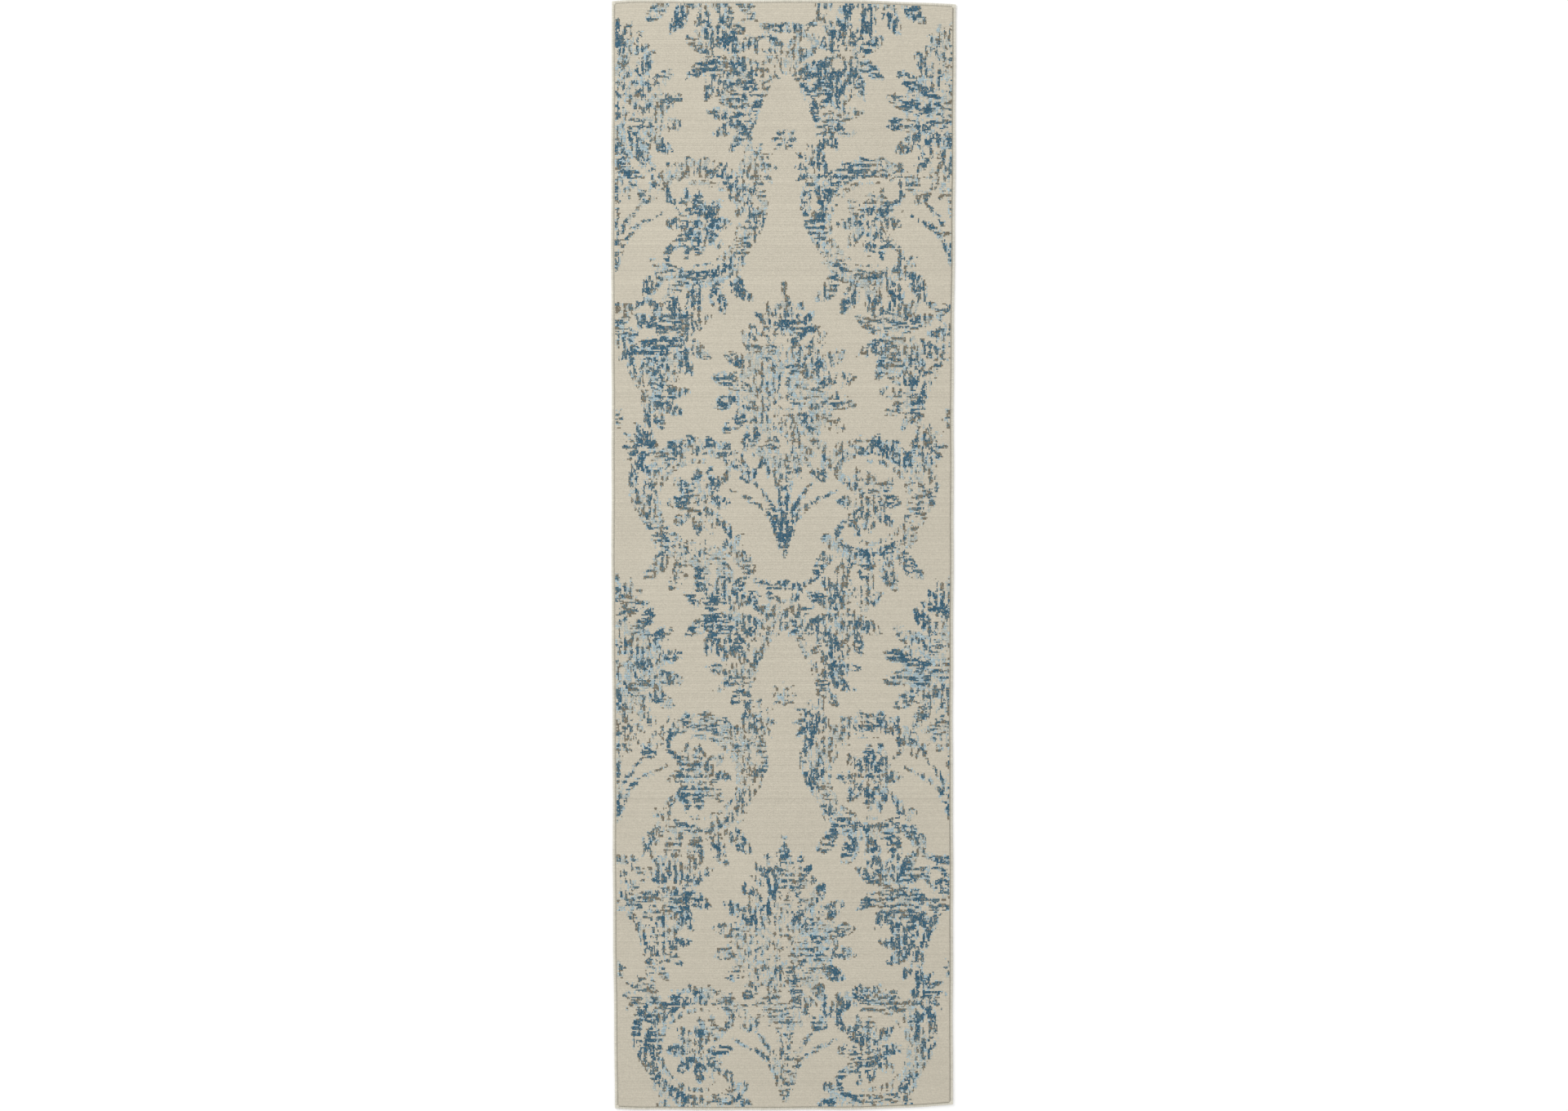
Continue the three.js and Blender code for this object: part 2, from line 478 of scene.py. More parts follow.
@dataclass(frozen=True)
class WeaveFinish:
    """Bare woven cloth.

    Attributes:
        name: the material's name.
        weft: the colour of the yarn across the rug.
        warp: the colour of the yarn along it.
        film: how far a film of size hides the weave, from 0 to 1.
        size: the colour of the film.
    """

    name: str
    weft: Colour
    warp: Colour
    film: float = 0.0
    size: Colour = (0.6, 0.56, 0.46)

    def build(self, effects: Effects) -> bpy.types.Material:
        """Builds the material."""
        made, nodes, shader = new_material(self.name)
        weave = nodes.group(effects.ribs, {"Across": 0.0031, "Along": 0.0025})
        cloth = nodes.mix(weave.outputs["Warp"], (*self.weft, 1), (*self.warp, 1))
        where = nodes.add("TexCoord").outputs["Object"]
        smear = nodes.noise(where, 35.0, 4.0, 0.6)
        cover = nodes.math("MULTIPLY", nodes.math("MULTIPLY_ADD", smear, 0.8, 0.4), self.film)
        cloth = nodes.mix(cover, cloth, (*self.size, 1))
        dye = nodes.group(effects.heather, {"Color": nodes.gained(cloth, nodes.shade()),
                                            "Fibre": 0.18, "Tuft": 0.12, "Patch": 0.08})
        nodes.feed(shader.inputs["Base Color"], dye.outputs["Color"])
        tall = nodes.math("MULTIPLY_ADD", dye.outputs["Height"], 0.3, weave.outputs["Height"])
        bump = nodes.add("Bump", {"Strength": 0.7, "Distance": 0.0005, "Height": tall})
        nodes.feed(shader.inputs["Normal"], bump.outputs[0])
        nodes.feed(shader.inputs["Roughness"], nodes.math("MULTIPLY_ADD", cover, -0.35, 0.92))
        return made


@dataclass(frozen=True)
class FloorFinish:
    """A plain pale floor."""

    name: str = "plain_floor"
    colour: Colour = (0.97, 0.97, 0.97)

    def build(self) -> bpy.types.Material:
        """Builds the material."""
        made, _, shader = new_material(self.name)
        shader.inputs["Base Color"].default_value = (*self.colour, 1)
        shader.inputs["Roughness"].default_value = 0.9
        shader.inputs["Specular IOR Level"].default_value = 0.1
        return made


class Yarn(IntEnum):
    """The yarns of the pile."""

    IVORY = 0
    NAVY = 1
    DENIM = 2
    SKY = 3
    MIST = 4
    TAUPE = 5


PILE_FINISHES = {
    # line sets how dark the painted shade between tufts is.
    Yarn.IVORY: PileFinish("ivory_pile", linear(198, 191, 174), line=0.14, uneven=0.06),
    Yarn.NAVY: PileFinish("navy_pile", linear(50, 96, 119)),
    Yarn.DENIM: PileFinish("denim_pile", linear(88, 115, 124)),
    Yarn.SKY: PileFinish("sky_pile", linear(171, 192, 199)),
    Yarn.MIST: PileFinish("mist_pile", linear(186, 191, 184)),
    Yarn.TAUPE: PileFinish("taupe_pile", linear(124, 117, 101)),
}
SERGING = ThreadFinish("serging_yarn", linear(213, 209, 195))
CORD = ThreadFinish("cotton_cord", linear(226, 222, 210), bump=0.0004)
STITCH = ThreadFinish("stitch_thread", linear(196, 191, 174), fibre=0.1, rough=0.7)
GROUND = WeaveFinish("ground_weave", linear(176, 160, 126), linear(205, 198, 178))
BACK = WeaveFinish("sized_back", linear(184, 168, 132), linear(214, 208, 190), film=0.45)


# ---------------------------------------------------------------- the drawing of the figure

# Half of the repeat's width, and its length.
HALF = 343.0
DROP = 1110.0
# How much narrower a stroke is drawn than told, as stray tufts widen it again.
TRIM = 3.0
# How fully the half-worn ground behind a motif is filled.
WORN = 0.42


def spline(points: list[Point], step: float) -> np.ndarray:
    """Points along a smooth curve through the given ones.

    Each span is the Catmull-Rom cubic of its four nearest points, sampled about every step.

    Args:
        points: the points that the curve passes through, two or more.
        step: the spacing of the samples, in the units of the points.

    Returns:
        An array of samples and, as a third column, how far along each lies, from 0 to 1.
    """
    knots = np.array(points, float)
    if len(knots) == 2:
        knots = np.array([knots[0], knots.mean(0), knots[1]])
    ends = [2 * knots[0] - knots[1], 2 * knots[-1] - knots[-2]]
    padded = np.vstack([ends[0], knots, ends[1]])
    spans = []
    for a, b, c, d in zip(padded[:-3], padded[1:-2], padded[2:-1], padded[3:], strict=True):
        count = max(2, int(np.ceil(np.linalg.norm(c - b) / step)))
        t = np.arange(count)[:, None] / count
        spans.append(0.5 * (2 * b + (c - a) * t + (2 * a - 5 * b + 4 * c - d) * t**2
                            + (3 * b - a - 3 * c + d) * t**3))
    line = np.vstack([*spans, knots[-1:]])
    gone = np.concatenate([[0], np.cumsum(np.linalg.norm(np.diff(line, axis=0), axis=1))])
    return np.column_stack([line, gone / gone[-1]])


@dataclass(frozen=True)
class Stroke:
    """One stroke of the ornament, in millimetres of the repeat.

    Attributes:
        spine: points that its middle line passes through, as across and down.
        start: its width where it starts.
        middle: its width halfway.
        end: its width where it ends.
        strength: how fully it is filled with figure yarn.
    """

    spine: list[Point]
    start: float
    middle: float
    end: float
    strength: float = 1.0

    def discs(self) -> np.ndarray:
        """The discs whose union is the stroke: across, down and radius.

        The width runs from start to middle to end along a parabola.
        """
        line = spline(self.spine, 1.5)
        t = line[:, 2]
        bend = 4 * self.middle - 2 * (self.start + self.end)
        width = self.start * (1 - t) + self.end * t + bend * t * (1 - t)
        return np.column_stack([line[:, :2], np.maximum(width - TRIM, 0.5) / 2])


def leaf(spine: list[Point], width: float, strength: float = 1.0) -> Stroke:
    """A leaf: pointed at both ends and widest in the middle."""
    return Stroke(spine, 0.25 * width, width, 0.15 * width, strength)


def stem(spine: list[Point], start: float, end: float, strength: float = 1.0) -> Stroke:
    """A stem whose width changes evenly along it."""
    return Stroke(spine, start, (start + end) / 2, end, strength)


def place(across: float, down: float) -> Point:
    """A point of the repeat.

    Args:
        across: its share of half of the repeat's width.
        down: its share of the repeat's length.

    Returns:
        The point, in millimetres.
    """
    return (across * HALF, down * DROP)


def polar(centre: Point, reach: float, turn: float) -> Point:
    """The point at a distance from a centre, at an angle in degrees from across towards down."""
    angle = np.radians(turn)
    return (centre[0] + reach * np.cos(angle), centre[1] + reach * np.sin(angle))


def arc(centre: Point, outer: float, inner: float, width: float, first: float, last: float,
        strength: float = 1.0) -> Stroke:
    """An arc round a centre, thinner at its ends.

    Args:
        centre: the point that it turns about.
        outer: its radius where it starts.
        inner: its radius where it ends, which it reaches evenly.
        width: its width halfway.
        first: the angle where it starts, in degrees.
        last: the angle where it ends.
        strength: how fully it is filled.

    Returns:
        The stroke.
    """
    spine = [polar(centre, outer + (inner - outer) * share, first + (last - first) * share)
             for share in np.linspace(0, 1, 15)]
    return Stroke(spine, 0.6 * width, width, 0.6 * width, strength)


def berry(centre: Point, radius: float, strength: float = 1.0) -> Stroke:
    """A round spot."""
    side = (centre[0] + 0.5, centre[1])
    return Stroke([centre, side], 2 * radius, 2 * radius, 2 * radius, strength)


def fan(centre: Point, count: int, first: float, last: float, near: float, far: float,
        width: float, curl: float = 0.0, strength: float = 1.0) -> list[Stroke]:
    """Leaves that spread evenly from a centre, each bent aside halfway.

    Args:
        centre: the point that they spread from.
        count: how many there are.
        first: the angle of the first, in degrees.
        last: the angle of the last.
        near: how far from the centre they start.
        far: how far from it they end.
        width: the width of each.
        curl: how far their middles are turned about the centre, in degrees.
        strength: how fully they are filled.

    Returns:
        The leaves.
    """
    return [leaf([polar(centre, near, turn), polar(centre, (near + far) / 2, turn + curl),
                  polar(centre, far, turn)], width, strength)
            for turn in np.linspace(first, last, count)]


def spray(foot: Point, turn: float, size: float) -> list[Stroke]:
    """Five leaves that spread from a foot about a direction, given in degrees."""
    return fan(foot, 5, turn - 64, turn + 64, 0.14 * size, size, 0.3 * size, 5)


def garland(first: Point, last: Point, swing: float, width: float) -> Stroke:
    """A stem between two points that swings aside as half a sine wave.

    Args:
        first: where it starts.
        last: where it ends.
        swing: how far aside its middle lies.
        width: its width.

    Returns:
        The stroke.
    """
    spine = [(first[0] + (last[0] - first[0]) * share + swing * np.sin(np.pi * share),
              first[1] + (last[1] - first[1]) * share) for share in np.linspace(0, 1, 9)]
    return stem(spine, width, width)


def rosette(centre: Point, size: float) -> list[Stroke]:
    """A round flower: eight petals round a button."""
    return [*fan(centre, 8, -90, 225, 0.24 * size, size, 0.4 * size), berry(centre, 0.15 * size)]


def palmette(eye: Point, size: float) -> list[Stroke]:
    """Half of a palmette: fans of leaves round an eye, with a crest above and a drop below.

    Args:
        eye: the middle of its fans, on the axis.
        size: how far its longest leaves reach.

    Returns:
        Its strokes.
    """
    crest, drop = polar(eye, 0.8 * size, -90), polar(eye, 0.8 * size, 90)
    return [
        arc(eye, 0.45 * size, 0.45 * size, 0.6 * size, -88, 88, WORN),
        *fan(eye, 8, -78, 78, 0.6 * size, size, 0.2 * size),
        *fan(eye, 6, -70, 70, 0.3 * size, 0.66 * size, 0.15 * size, 10),
        *fan(eye, 4, -60, 60, 0.14 * size, 0.36 * size, 0.1 * size, -10, 0.7),
        arc(eye, 0.1 * size, 0.1 * size, 0.07 * size, -90, 90),
        *fan(crest, 4, -84, -12, 0.1 * size, 0.5 * size, 0.14 * size, 6),
        stem([crest, polar(eye, 1.5 * size, -90)], 0.09 * size, 0.04 * size),
        *fan(drop, 4, 12, 84, 0.1 * size, 0.45 * size, 0.13 * size, -6, 0.8),
        berry(polar(eye, 1.35 * size, 90), 0.05 * size),
    ]


def scroll(centre: Point, size: float) -> list[Stroke]:
    """A scroll that is open outwards: curled ends, a crown of leaves, and leaves that hang.

    Args:
        centre: the point that it turns about.
        size: its radius.

    Returns:
        Its strokes.
    """
    curl = 0.3 * size
    return [
        arc(centre, 1.1 * size, 1.1 * size, 0.3 * size, -150, -30, WORN),
        arc(centre, 1.1 * size, 1.1 * size, 0.3 * size, 40, 140, WORN),
        arc(centre, size, size, 0.24 * size, 60, 300),
        arc(centre, 0.8 * size, 0.8 * size, 0.1 * size, 80, 280, 0.5),
        arc(polar(centre, size - curl, 60), curl, 0.4 * curl, 0.15 * size, 60, -200),
        arc(polar(centre, size - curl, -60), curl, 0.4 * curl, 0.15 * size, -60, 200),
        *fan(centre, 8, -150, -30, 0.95 * size, 1.3 * size, 0.22 * size, 4),
        *fan(centre, 5, 55, 125, 1.15 * size, 1.8 * size, 0.3 * size, -3),
    ]


def urn(rim: Point, size: float) -> list[Stroke]:
    """Half of an urn: a rim, a bowl below it, a foot of leaves and a handle.

    Args:
        rim: the middle of its rim, on the axis.
        size: half of the rim's width.

    Returns:
        Its strokes.
    """
    return [
        stem([rim, polar(rim, 0.5 * size, 0), polar(rim, size, -12)], 0.3 * size, 0.12 * size),
        arc(rim, 0.5 * size, 0.5 * size, 0.22 * size, 5, 90, 0.9),
        arc(polar(rim, 0.75 * size, 45), 0.3 * size, 0.3 * size, 0.14 * size, -120, 110, 0.9),
        *fan(polar(rim, 0.6 * size, 90), 4, 10, 85, 0.15 * size, 0.8 * size, 0.2 * size, 0, 0.8),
    ]


def fronds(foot: Point, size: float) -> list[Stroke]:
    """Three fronds that rise from a foot and lean further out each time."""
    return [leaf([foot, polar(foot, 0.55 * size, -88 + 9 * k), polar(foot, size, -84 + 16 * k)],
                 0.07 * size) for k in range(3)]


def ornament() -> list[Stroke]:
    """A plain half-drop damask: palmettes between scrolls that hold rosettes, stems and urns.

    The places are round shares of the repeat, and the half drop puts a copy of each half a
    repeat further down.

    Returns:
        The strokes, in the order in which they are laid.
    """
    middle = place(0.5, 0.4)
    knot = place(0.2, 0.3)
    return [
        *palmette(place(0, 0.7), 0.42 * HALF),
        *scroll(middle, 0.3 * HALF),
        *rosette(middle, 0.19 * HALF),
        garland(place(0.1, 0.15), knot, 0.05 * HALF, 0.05 * HALF),
        garland(knot, place(0.25, 0.45), -0.1 * HALF, 0.06 * HALF),
        berry(knot, 0.06 * HALF),
        *spray(knot, 180, 0.15 * HALF),
        *spray(place(0.2, 0.2), 0, 0.25 * HALF),
        *spray(place(0.7, 0.6), 90, 0.3 * HALF),
        *spray(place(0.35, 0.1), -90, 0.25 * HALF),
        *spray(place(0.35, 0.1), 90, 0.2 * HALF),
        *rosette(place(0, 0.25), 0.07 * HALF),
        *urn(place(0, 0.05), 0.2 * HALF),
        *fronds(place(0, 1.0), 0.5 * HALF),
    ]


@dataclass(frozen=True)
class Repeat:
    """How the ornament repeats: mirrored about the long axis and moved by half drops.

    Attributes:
        across: half of the repeat's width.
        down: the repeat's length.
        strokes: the strokes, in the order in which they are laid.
    """

    across: float = HALF
    down: float = DROP
    strokes: list[Stroke] = field(default_factory=ornament)

    def copies(self, discs: np.ndarray) -> list[np.ndarray]:
        """Every copy of a stroke that can reach one half of the repeat.

        Args:
            discs: the stroke's discs.

        Returns:
            Its discs moved: mirrored or not, half dropped or not, and by whole repeats.
        """
        found = []
        size, reach = np.array([self.across, self.down]), discs[:, 2].max()
        for half, sign, turn, fall in product((0, 1), (1, -1), (-1, 0, 1), (-1, 0, 1)):
            moved = discs.copy()
            moved[:, 0] = sign * discs[:, 0] + self.across * (half + 2 * turn)
            moved[:, 1] += self.down * (half / 2 + fall)
            low, high = moved[:, :2].min(axis=0), moved[:, :2].max(axis=0)
            if np.all(low - reach < size) and np.all(high + reach > 0):
                found.append(moved)
        return found

    def draw(self, across: np.ndarray, down: np.ndarray) -> tuple[np.ndarray, np.ndarray]:
        """Draws one half of the repeat on a grid.

        A cell takes the strength of the strongest stroke that covers it. Its depth is how far
        inside the figure it lies: the largest, over the strokes, of a disc's radius less the
        distance to its centre.

        Args:
            across: the grid's positions across, from 0 to half of the repeat's width.
            down: the grid's positions down, from 0 to the repeat's length.

        Returns:
            The strength of each cell, and its depth, as arrays of down by across.
        """
        strength = np.zeros((len(down), len(across)))
        depth = np.full((len(down), len(across)), -50.0)
        for stroke in self.strokes:
            for discs in self.copies(stroke.discs()):
                reach = discs[:, 2].max() + 12
                cols = np.flatnonzero((across > discs[:, 0].min() - reach)
                                      & (across < discs[:, 0].max() + reach))
                rows = np.flatnonzero((down > discs[:, 1].min() - reach)
                                      & (down < discs[:, 1].max() + reach))
                if not len(cols) or not len(rows):
                    continue
                part = np.ix_(rows, cols)
                away = np.hypot(across[cols][None, :, None] - discs[:, 0],
                                down[rows][:, None, None] - discs[:, 1])
                inside = (discs[:, 2] - away).max(2)
                strength[part] = np.maximum(strength[part], stroke.strength * (inside > 0))
                depth[part] = np.maximum(depth[part], inside)
        return strength, depth

    def lay(self, across: np.ndarray, down: np.ndarray,
            middle: float = 2.5) -> tuple[np.ndarray, np.ndarray]:
        """The ornament at places on the rug.

        Args:
            across: columns, in millimetres from the rug's middle.
            down: rows, in millimetres from its head.
            middle: how far right of the middle the axis lies.

        Returns:
            The strength and the depth of each place, as arrays of down by across.
        """
        step = 1.0
        strength, depth = self.draw(np.arange(step / 2, self.across, step),
                                    np.arange(step / 2, self.down, step))
        col = np.minimum(np.abs(across - middle) / step, strength.shape[1] - 1).astype(int)
        row = (down % self.down / step).astype(int)
        spots = np.ix_(row, col)
        return strength[spots], depth[spots]


# ---------------------------------------------------------------- how the figure is worn


def lattice(rng: np.random.Generator, shape: tuple[int, int], down: float, across: float) -> np.ndarray:
    """Smooth noise from 0 to 1: random values on a coarse lattice, blended with smoothstep weights.

    Args:
        rng: the source of the values.
        shape: rows and columns of the result.
        down: the lattice's spacing in rows.
        across: its spacing in columns.

    Returns:
        One value a tuft.
    """
    rows, cols = np.arange(shape[0]) / down, np.arange(shape[1]) / across
    grid = rng.random((int(rows[-1]) + 2, int(cols[-1]) + 2))
    r, c = rows.astype(int), cols.astype(int)
    fr, fc = (rows - r)[:, None], (cols - c)[None, :]
    fr, fc = fr * fr * (3 - 2 * fr), fc * fc * (3 - 2 * fc)
    top = grid[np.ix_(r, c)] * (1 - fc) + grid[np.ix_(r, c + 1)] * fc
    low = grid[np.ix_(r + 1, c)] * (1 - fc) + grid[np.ix_(r + 1, c + 1)] * fc
    return top * (1 - fr) + low * fr


def dashes(rng: np.random.Generator, shape: tuple[int, int], length: int, thick: int) -> np.ndarray:
    """Noise from 0 to 1 in dashes of equal size, each band of them slid sideways at random.

    Args:
        rng: the source of the values.
        shape: rows and columns of the result.
        length: how many columns a dash covers.
        thick: how many rows it covers.

    Returns:
        One value a tuft.
    """
    bands = -(-shape[0] // thick)
    slide = rng.integers(0, length, bands)
    index = (np.arange(shape[1])[None, :] + slide[:, None]) // length
    values = rng.random((bands, shape[1] // length + 2))
    found = np.take_along_axis(values, index, axis=1)
    return np.repeat(found, thick, axis=0)[: shape[0]]


def blend(parts: list[tuple[float, np.ndarray]]) -> np.ndarray:
    """The weighted sum of noises, stretched to an even spread from 0 to 1 by rank.

    Args:
        parts: the weight of each noise, and the noise.

    Returns:
        One value a tuft.
    """
    total = sum(weight * part for weight, part in parts)
    order = np.empty(total.size)
    order[np.argsort(total, axis=None, kind="stable")] = np.linspace(0, 1, total.size)
    return order.reshape(total.shape)


@dataclass(frozen=True)
class Wear:
    """How the figure is broken up, as shares from 0 to 1.

    Attributes:
        seed: the seed of its noise.
        dark: the share of dark tufts where the ornament is full.
        dark_faint: the same where it is at its faintest.
        pale: the share of pale tufts among the rest.
        navy: the share of navy among dark tufts where the ornament is full.
        taupe: the share of taupe among dark tufts there.
        halo: how far outside the ornament stray tufts lie, in millimetres.
        rib: how many tufts apart the broken lines lie that run through the figure.
    """

    seed: int = 23
    dark: float = 0.5
    dark_faint: float = 0.13
    pale: float = 0.53
    navy: float = 0.46
    taupe: float = 0.18
    halo: float = 3.2
    rib: float = 5.0

    def figure(self, strength: np.ndarray, depth: np.ndarray) -> np.ndarray:
        """The yarn of each tuft.

        Two noises are made of dashes, standing and lying, with faint ribs and bars, and patches
        choose between them. A tuft in the ornament is dark where that noise passes a limit, pale
        where a second noise does, and ivory elsewhere. A third noise parts dark from dark and
        pale from pale. Close outside the ornament a few tufts stray.

        Args:
            strength: how fully each tuft's place is filled by the ornament.
            depth: how far inside the ornament it lies, in millimetres.

        Returns:
            An array of Yarn values.
        """
        rng = np.random.default_rng(self.seed)
        shape = strength.shape

        def flat(length: int, thick: int) -> np.ndarray:
            """Dashes along the rows."""
            return dashes(rng, shape, length, thick)

        def upright(length: int, thick: int) -> np.ndarray:
            """Dashes across the rows."""
            return dashes(rng, shape[::-1], length, thick).T

        body = blend([(1.0, lattice(rng, shape, 15, 11)), (0.55, lattice(rng, shape, 44, 36))])
        bars, ribs = 0.5 + 0.5 * np.sin(2 * np.pi * np.indices(shape) / self.rib)
        standing = blend([(0.75, lattice(rng, shape, 3.4, 2.4)), (0.45, upright(4, 1)),
                          (0.6, upright(5, 2)), (0.2, flat(3, 1)), (0.3, ribs), (0.12, bars)])
        lying = blend([(0.75, lattice(rng, shape, 2.2, 3.6)), (0.5, flat(4, 1)), (0.6, flat(7, 2)),
                       (0.2, upright(3, 1)), (0.3, bars), (0.12, ribs)])
        ink = np.where(lattice(rng, shape, 16, 20) > 0.57, lying, standing)
        light = blend([(0.6, lattice(rng, shape, 3, 2.2)), (0.45, upright(4, 1)),
                       (0.3, lattice(rng, shape, 20, 16)), (0.35, ink)])
        hue = blend([(0.6, lattice(rng, shape, 3, 2.4)), (0.5, upright(3, 1)), (0.4, flat(3, 1)),
                     (0.5, body)])
        inside = strength > 0
        faint = np.clip((1 - strength) / 0.6, 0, 1)
        share = self.dark + (self.dark_faint - self.dark) * faint
        dark = inside & (ink > 1 - np.minimum(share * (0.65 + 0.7 * body), 0.75))
        near = ~inside & (depth > -self.halo)
        stray = near & (ink > 0.88 - 0.05 * (depth + self.halo))
        pale = (inside | near) & ~dark & ~stray & (light > 1 - self.pale * (0.6 + 0.4 * inside))
        navy = self.navy * (1 - 0.55 * faint)
        taupe = self.taupe + 0.25 * faint
        yarn = np.zeros(shape, int)
        yarn[pale] = Yarn.SKY
        yarn[pale & (hue < 0.45)] = Yarn.MIST
        yarn[dark] = Yarn.DENIM
        yarn[dark & (hue > 1 - navy)] = Yarn.NAVY
        yarn[(dark & (hue < taupe)) | (stray & (hue < 0.6))] = Yarn.TAUPE
        yarn[stray & (hue >= 0.6)] = Yarn.DENIM
        return yarn


# ---------------------------------------------------------------- where things lie


class Edge(Enum):
    """A side of the rug: the way along it and the way in from it, with up as the third axis."""

    LEFT = ((0, -1, 0), (1, 0, 0))
    RIGHT = ((0, 1, 0), (-1, 0, 0))
    HEAD = ((-1, 0, 0), (0, -1, 0))
    FOOT = ((1, 0, 0), (0, 1, 0))

    @property
    def label(self) -> str:
        """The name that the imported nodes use."""
        return self.name.lower()

    @property
    def is_long(self) -> bool:
        """Whether it runs the length of the rug."""
        return self in (Edge.LEFT, Edge.RIGHT)


@dataclass(frozen=True)
class Cut:
    """Where the finished rug lies, against the true rectangle of the model.

    Attributes:
        half_width: half of the rectangle's width.
        half_length: half of its length.
        bow: how far the middle of the rug lies to the left of its ends.
        head_drop: how far the head edge falls back at its right corner.
        foot_rise: how far the foot edge comes up at its right corner.
        corner_pull: how far both edges draw in at the left corners.
        wander: how far the edges stray.
        lift: how high the corners curl off the floor.
    """

    half_width: float
    half_length: float
    bow: float = 3 * MM
    head_drop: float = 9 * MM
    foot_rise: float = 11 * MM
    corner_pull: float = 2.8 * MM
    wander: float = 0.8 * MM
    lift: float = 1.2 * MM

    def settle(self, points: np.ndarray) -> np.ndarray:
        """Moves points of the true rectangle to where they lie.

        Across, a point moves left by the bow times one less its squared share of the half
        length. Near an end it moves along by the end's slant, which grows as the 1.7th power of
        how far right it is past a quarter of the half width. Slow sine waves make the edges
        stray, and the corners curl up as high powers of both shares.
        """
        u = points[..., 0] / self.half_width
        v = points[..., 1] / self.half_length
        right = np.clip((u - 0.27) / 0.73, 0, None) ** 1.7
        left = np.clip((-u - 0.8) / 0.2, 0, None) ** 2
        reach = np.clip((np.abs(v) - 0.55) / 0.45, 0, 1) ** 2
        slant = np.where(v > 0, self.head_drop, self.foot_rise) * right + self.corner_pull * left
        edge = np.abs(u) ** 6 * self.wander
        end = np.abs(v) ** 40 * self.wander
        x, y = points[..., 0], points[..., 1]
        side = np.sign(u)
        stray_x = 0.6 * np.sin(9.1 * y + 1.3 * side) + 0.4 * np.sin(31 * y + 2.1 * side)
        stray_y = 0.6 * np.sin(17 * x + 0.4) + 0.4 * np.sin(43 * x + np.sign(v))
        moved = points.copy()
        moved[..., 0] += edge * stray_x - self.bow * (1 - v**2)
        moved[..., 1] += end * stray_y - np.sign(v) * slant * reach
        moved[..., 2] += self.lift * np.abs(u) ** 10 * np.abs(v) ** 40
        return moved

    def along(self, edge: Edge, s: np.ndarray, inset: np.ndarray, z: np.ndarray) -> np.ndarray:
        """The settled points at distances along an edge, in from it, and up.

        Args:
            edge: the side of the rug.
            s: how far along it from its middle.
            inset: how far in from it.
            z: how high.

        Returns:
            Points, with a last axis of three.
        """
        way, inward = np.array(edge.value, float)
        half = self.half_width if edge.is_long else self.half_length
        s, inset, z = np.broadcast_arrays(s, inset, z)
        flat = s[..., None] * way + (inset - half)[..., None] * inward
        return self.settle(flat + z[..., None] * np.array([0.0, 0.0, 1.0]))


def dress(piece: bpy.types.Object, material: bpy.types.Material, slot: str, *nodes: str) -> None:
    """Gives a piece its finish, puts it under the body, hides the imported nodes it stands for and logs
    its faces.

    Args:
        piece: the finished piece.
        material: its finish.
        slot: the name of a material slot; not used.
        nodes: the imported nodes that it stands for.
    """
    piece.data.materials.append(material)
    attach(piece, BODY)
    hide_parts(*nodes)
    log.info("%s: %d faces", piece.name, len(piece.data.polygons))


def node_box(node: str) -> tuple[np.ndarray, np.ndarray]:
    """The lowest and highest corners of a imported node."""
    low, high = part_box(node)
    return np.array(low), np.array(high)


def put_shade(piece: bpy.types.Object, values: np.ndarray) -> None:
    """Stores how much lighter or darker each vertex is than its finish."""
    layer = piece.data.attributes.new(SHADE, "FLOAT", "POINT")
    layer.data.foreach_set("value", np.ascontiguousarray(values, np.float32).ravel())


def put_tufts(piece: bpy.types.Object, places: np.ndarray) -> None:
    """Stores where each vertex lies among the tufts, counted along and across the rows."""
    layer = piece.data.attributes.new(WEAVE, "FLOAT_VECTOR", "POINT")
    layer.data.foreach_set("vector", np.ascontiguousarray(places, np.float32).ravel())


def strip_places(points: np.ndarray, faces: np.ndarray, low: np.ndarray,
                 high: np.ndarray) -> np.ndarray:
    """Lays a long flat piece on the bake map as two halves of its length, side by side.

    Args:
        points: its vertices.
        faces: four vertex numbers a face.
        low: its lowest corner.
        high: its highest corner.

    Returns:
        Two numbers a corner, from 0 to 1.
    """
    size = high - low
    where = (points[faces] - low) / size
    half = (where[:, :, 1].mean(axis=1) > 0.5).astype(float)[:, None]
    across = (where[:, :, 0] * 0.94 + 0.03 + half) / 2
    up = (where[:, :, 1] * 2 - half) * 0.96 + 0.02
    return np.stack([across, up], axis=-1).reshape(-1, 2)


# ---------------------------------------------------------------- the pile


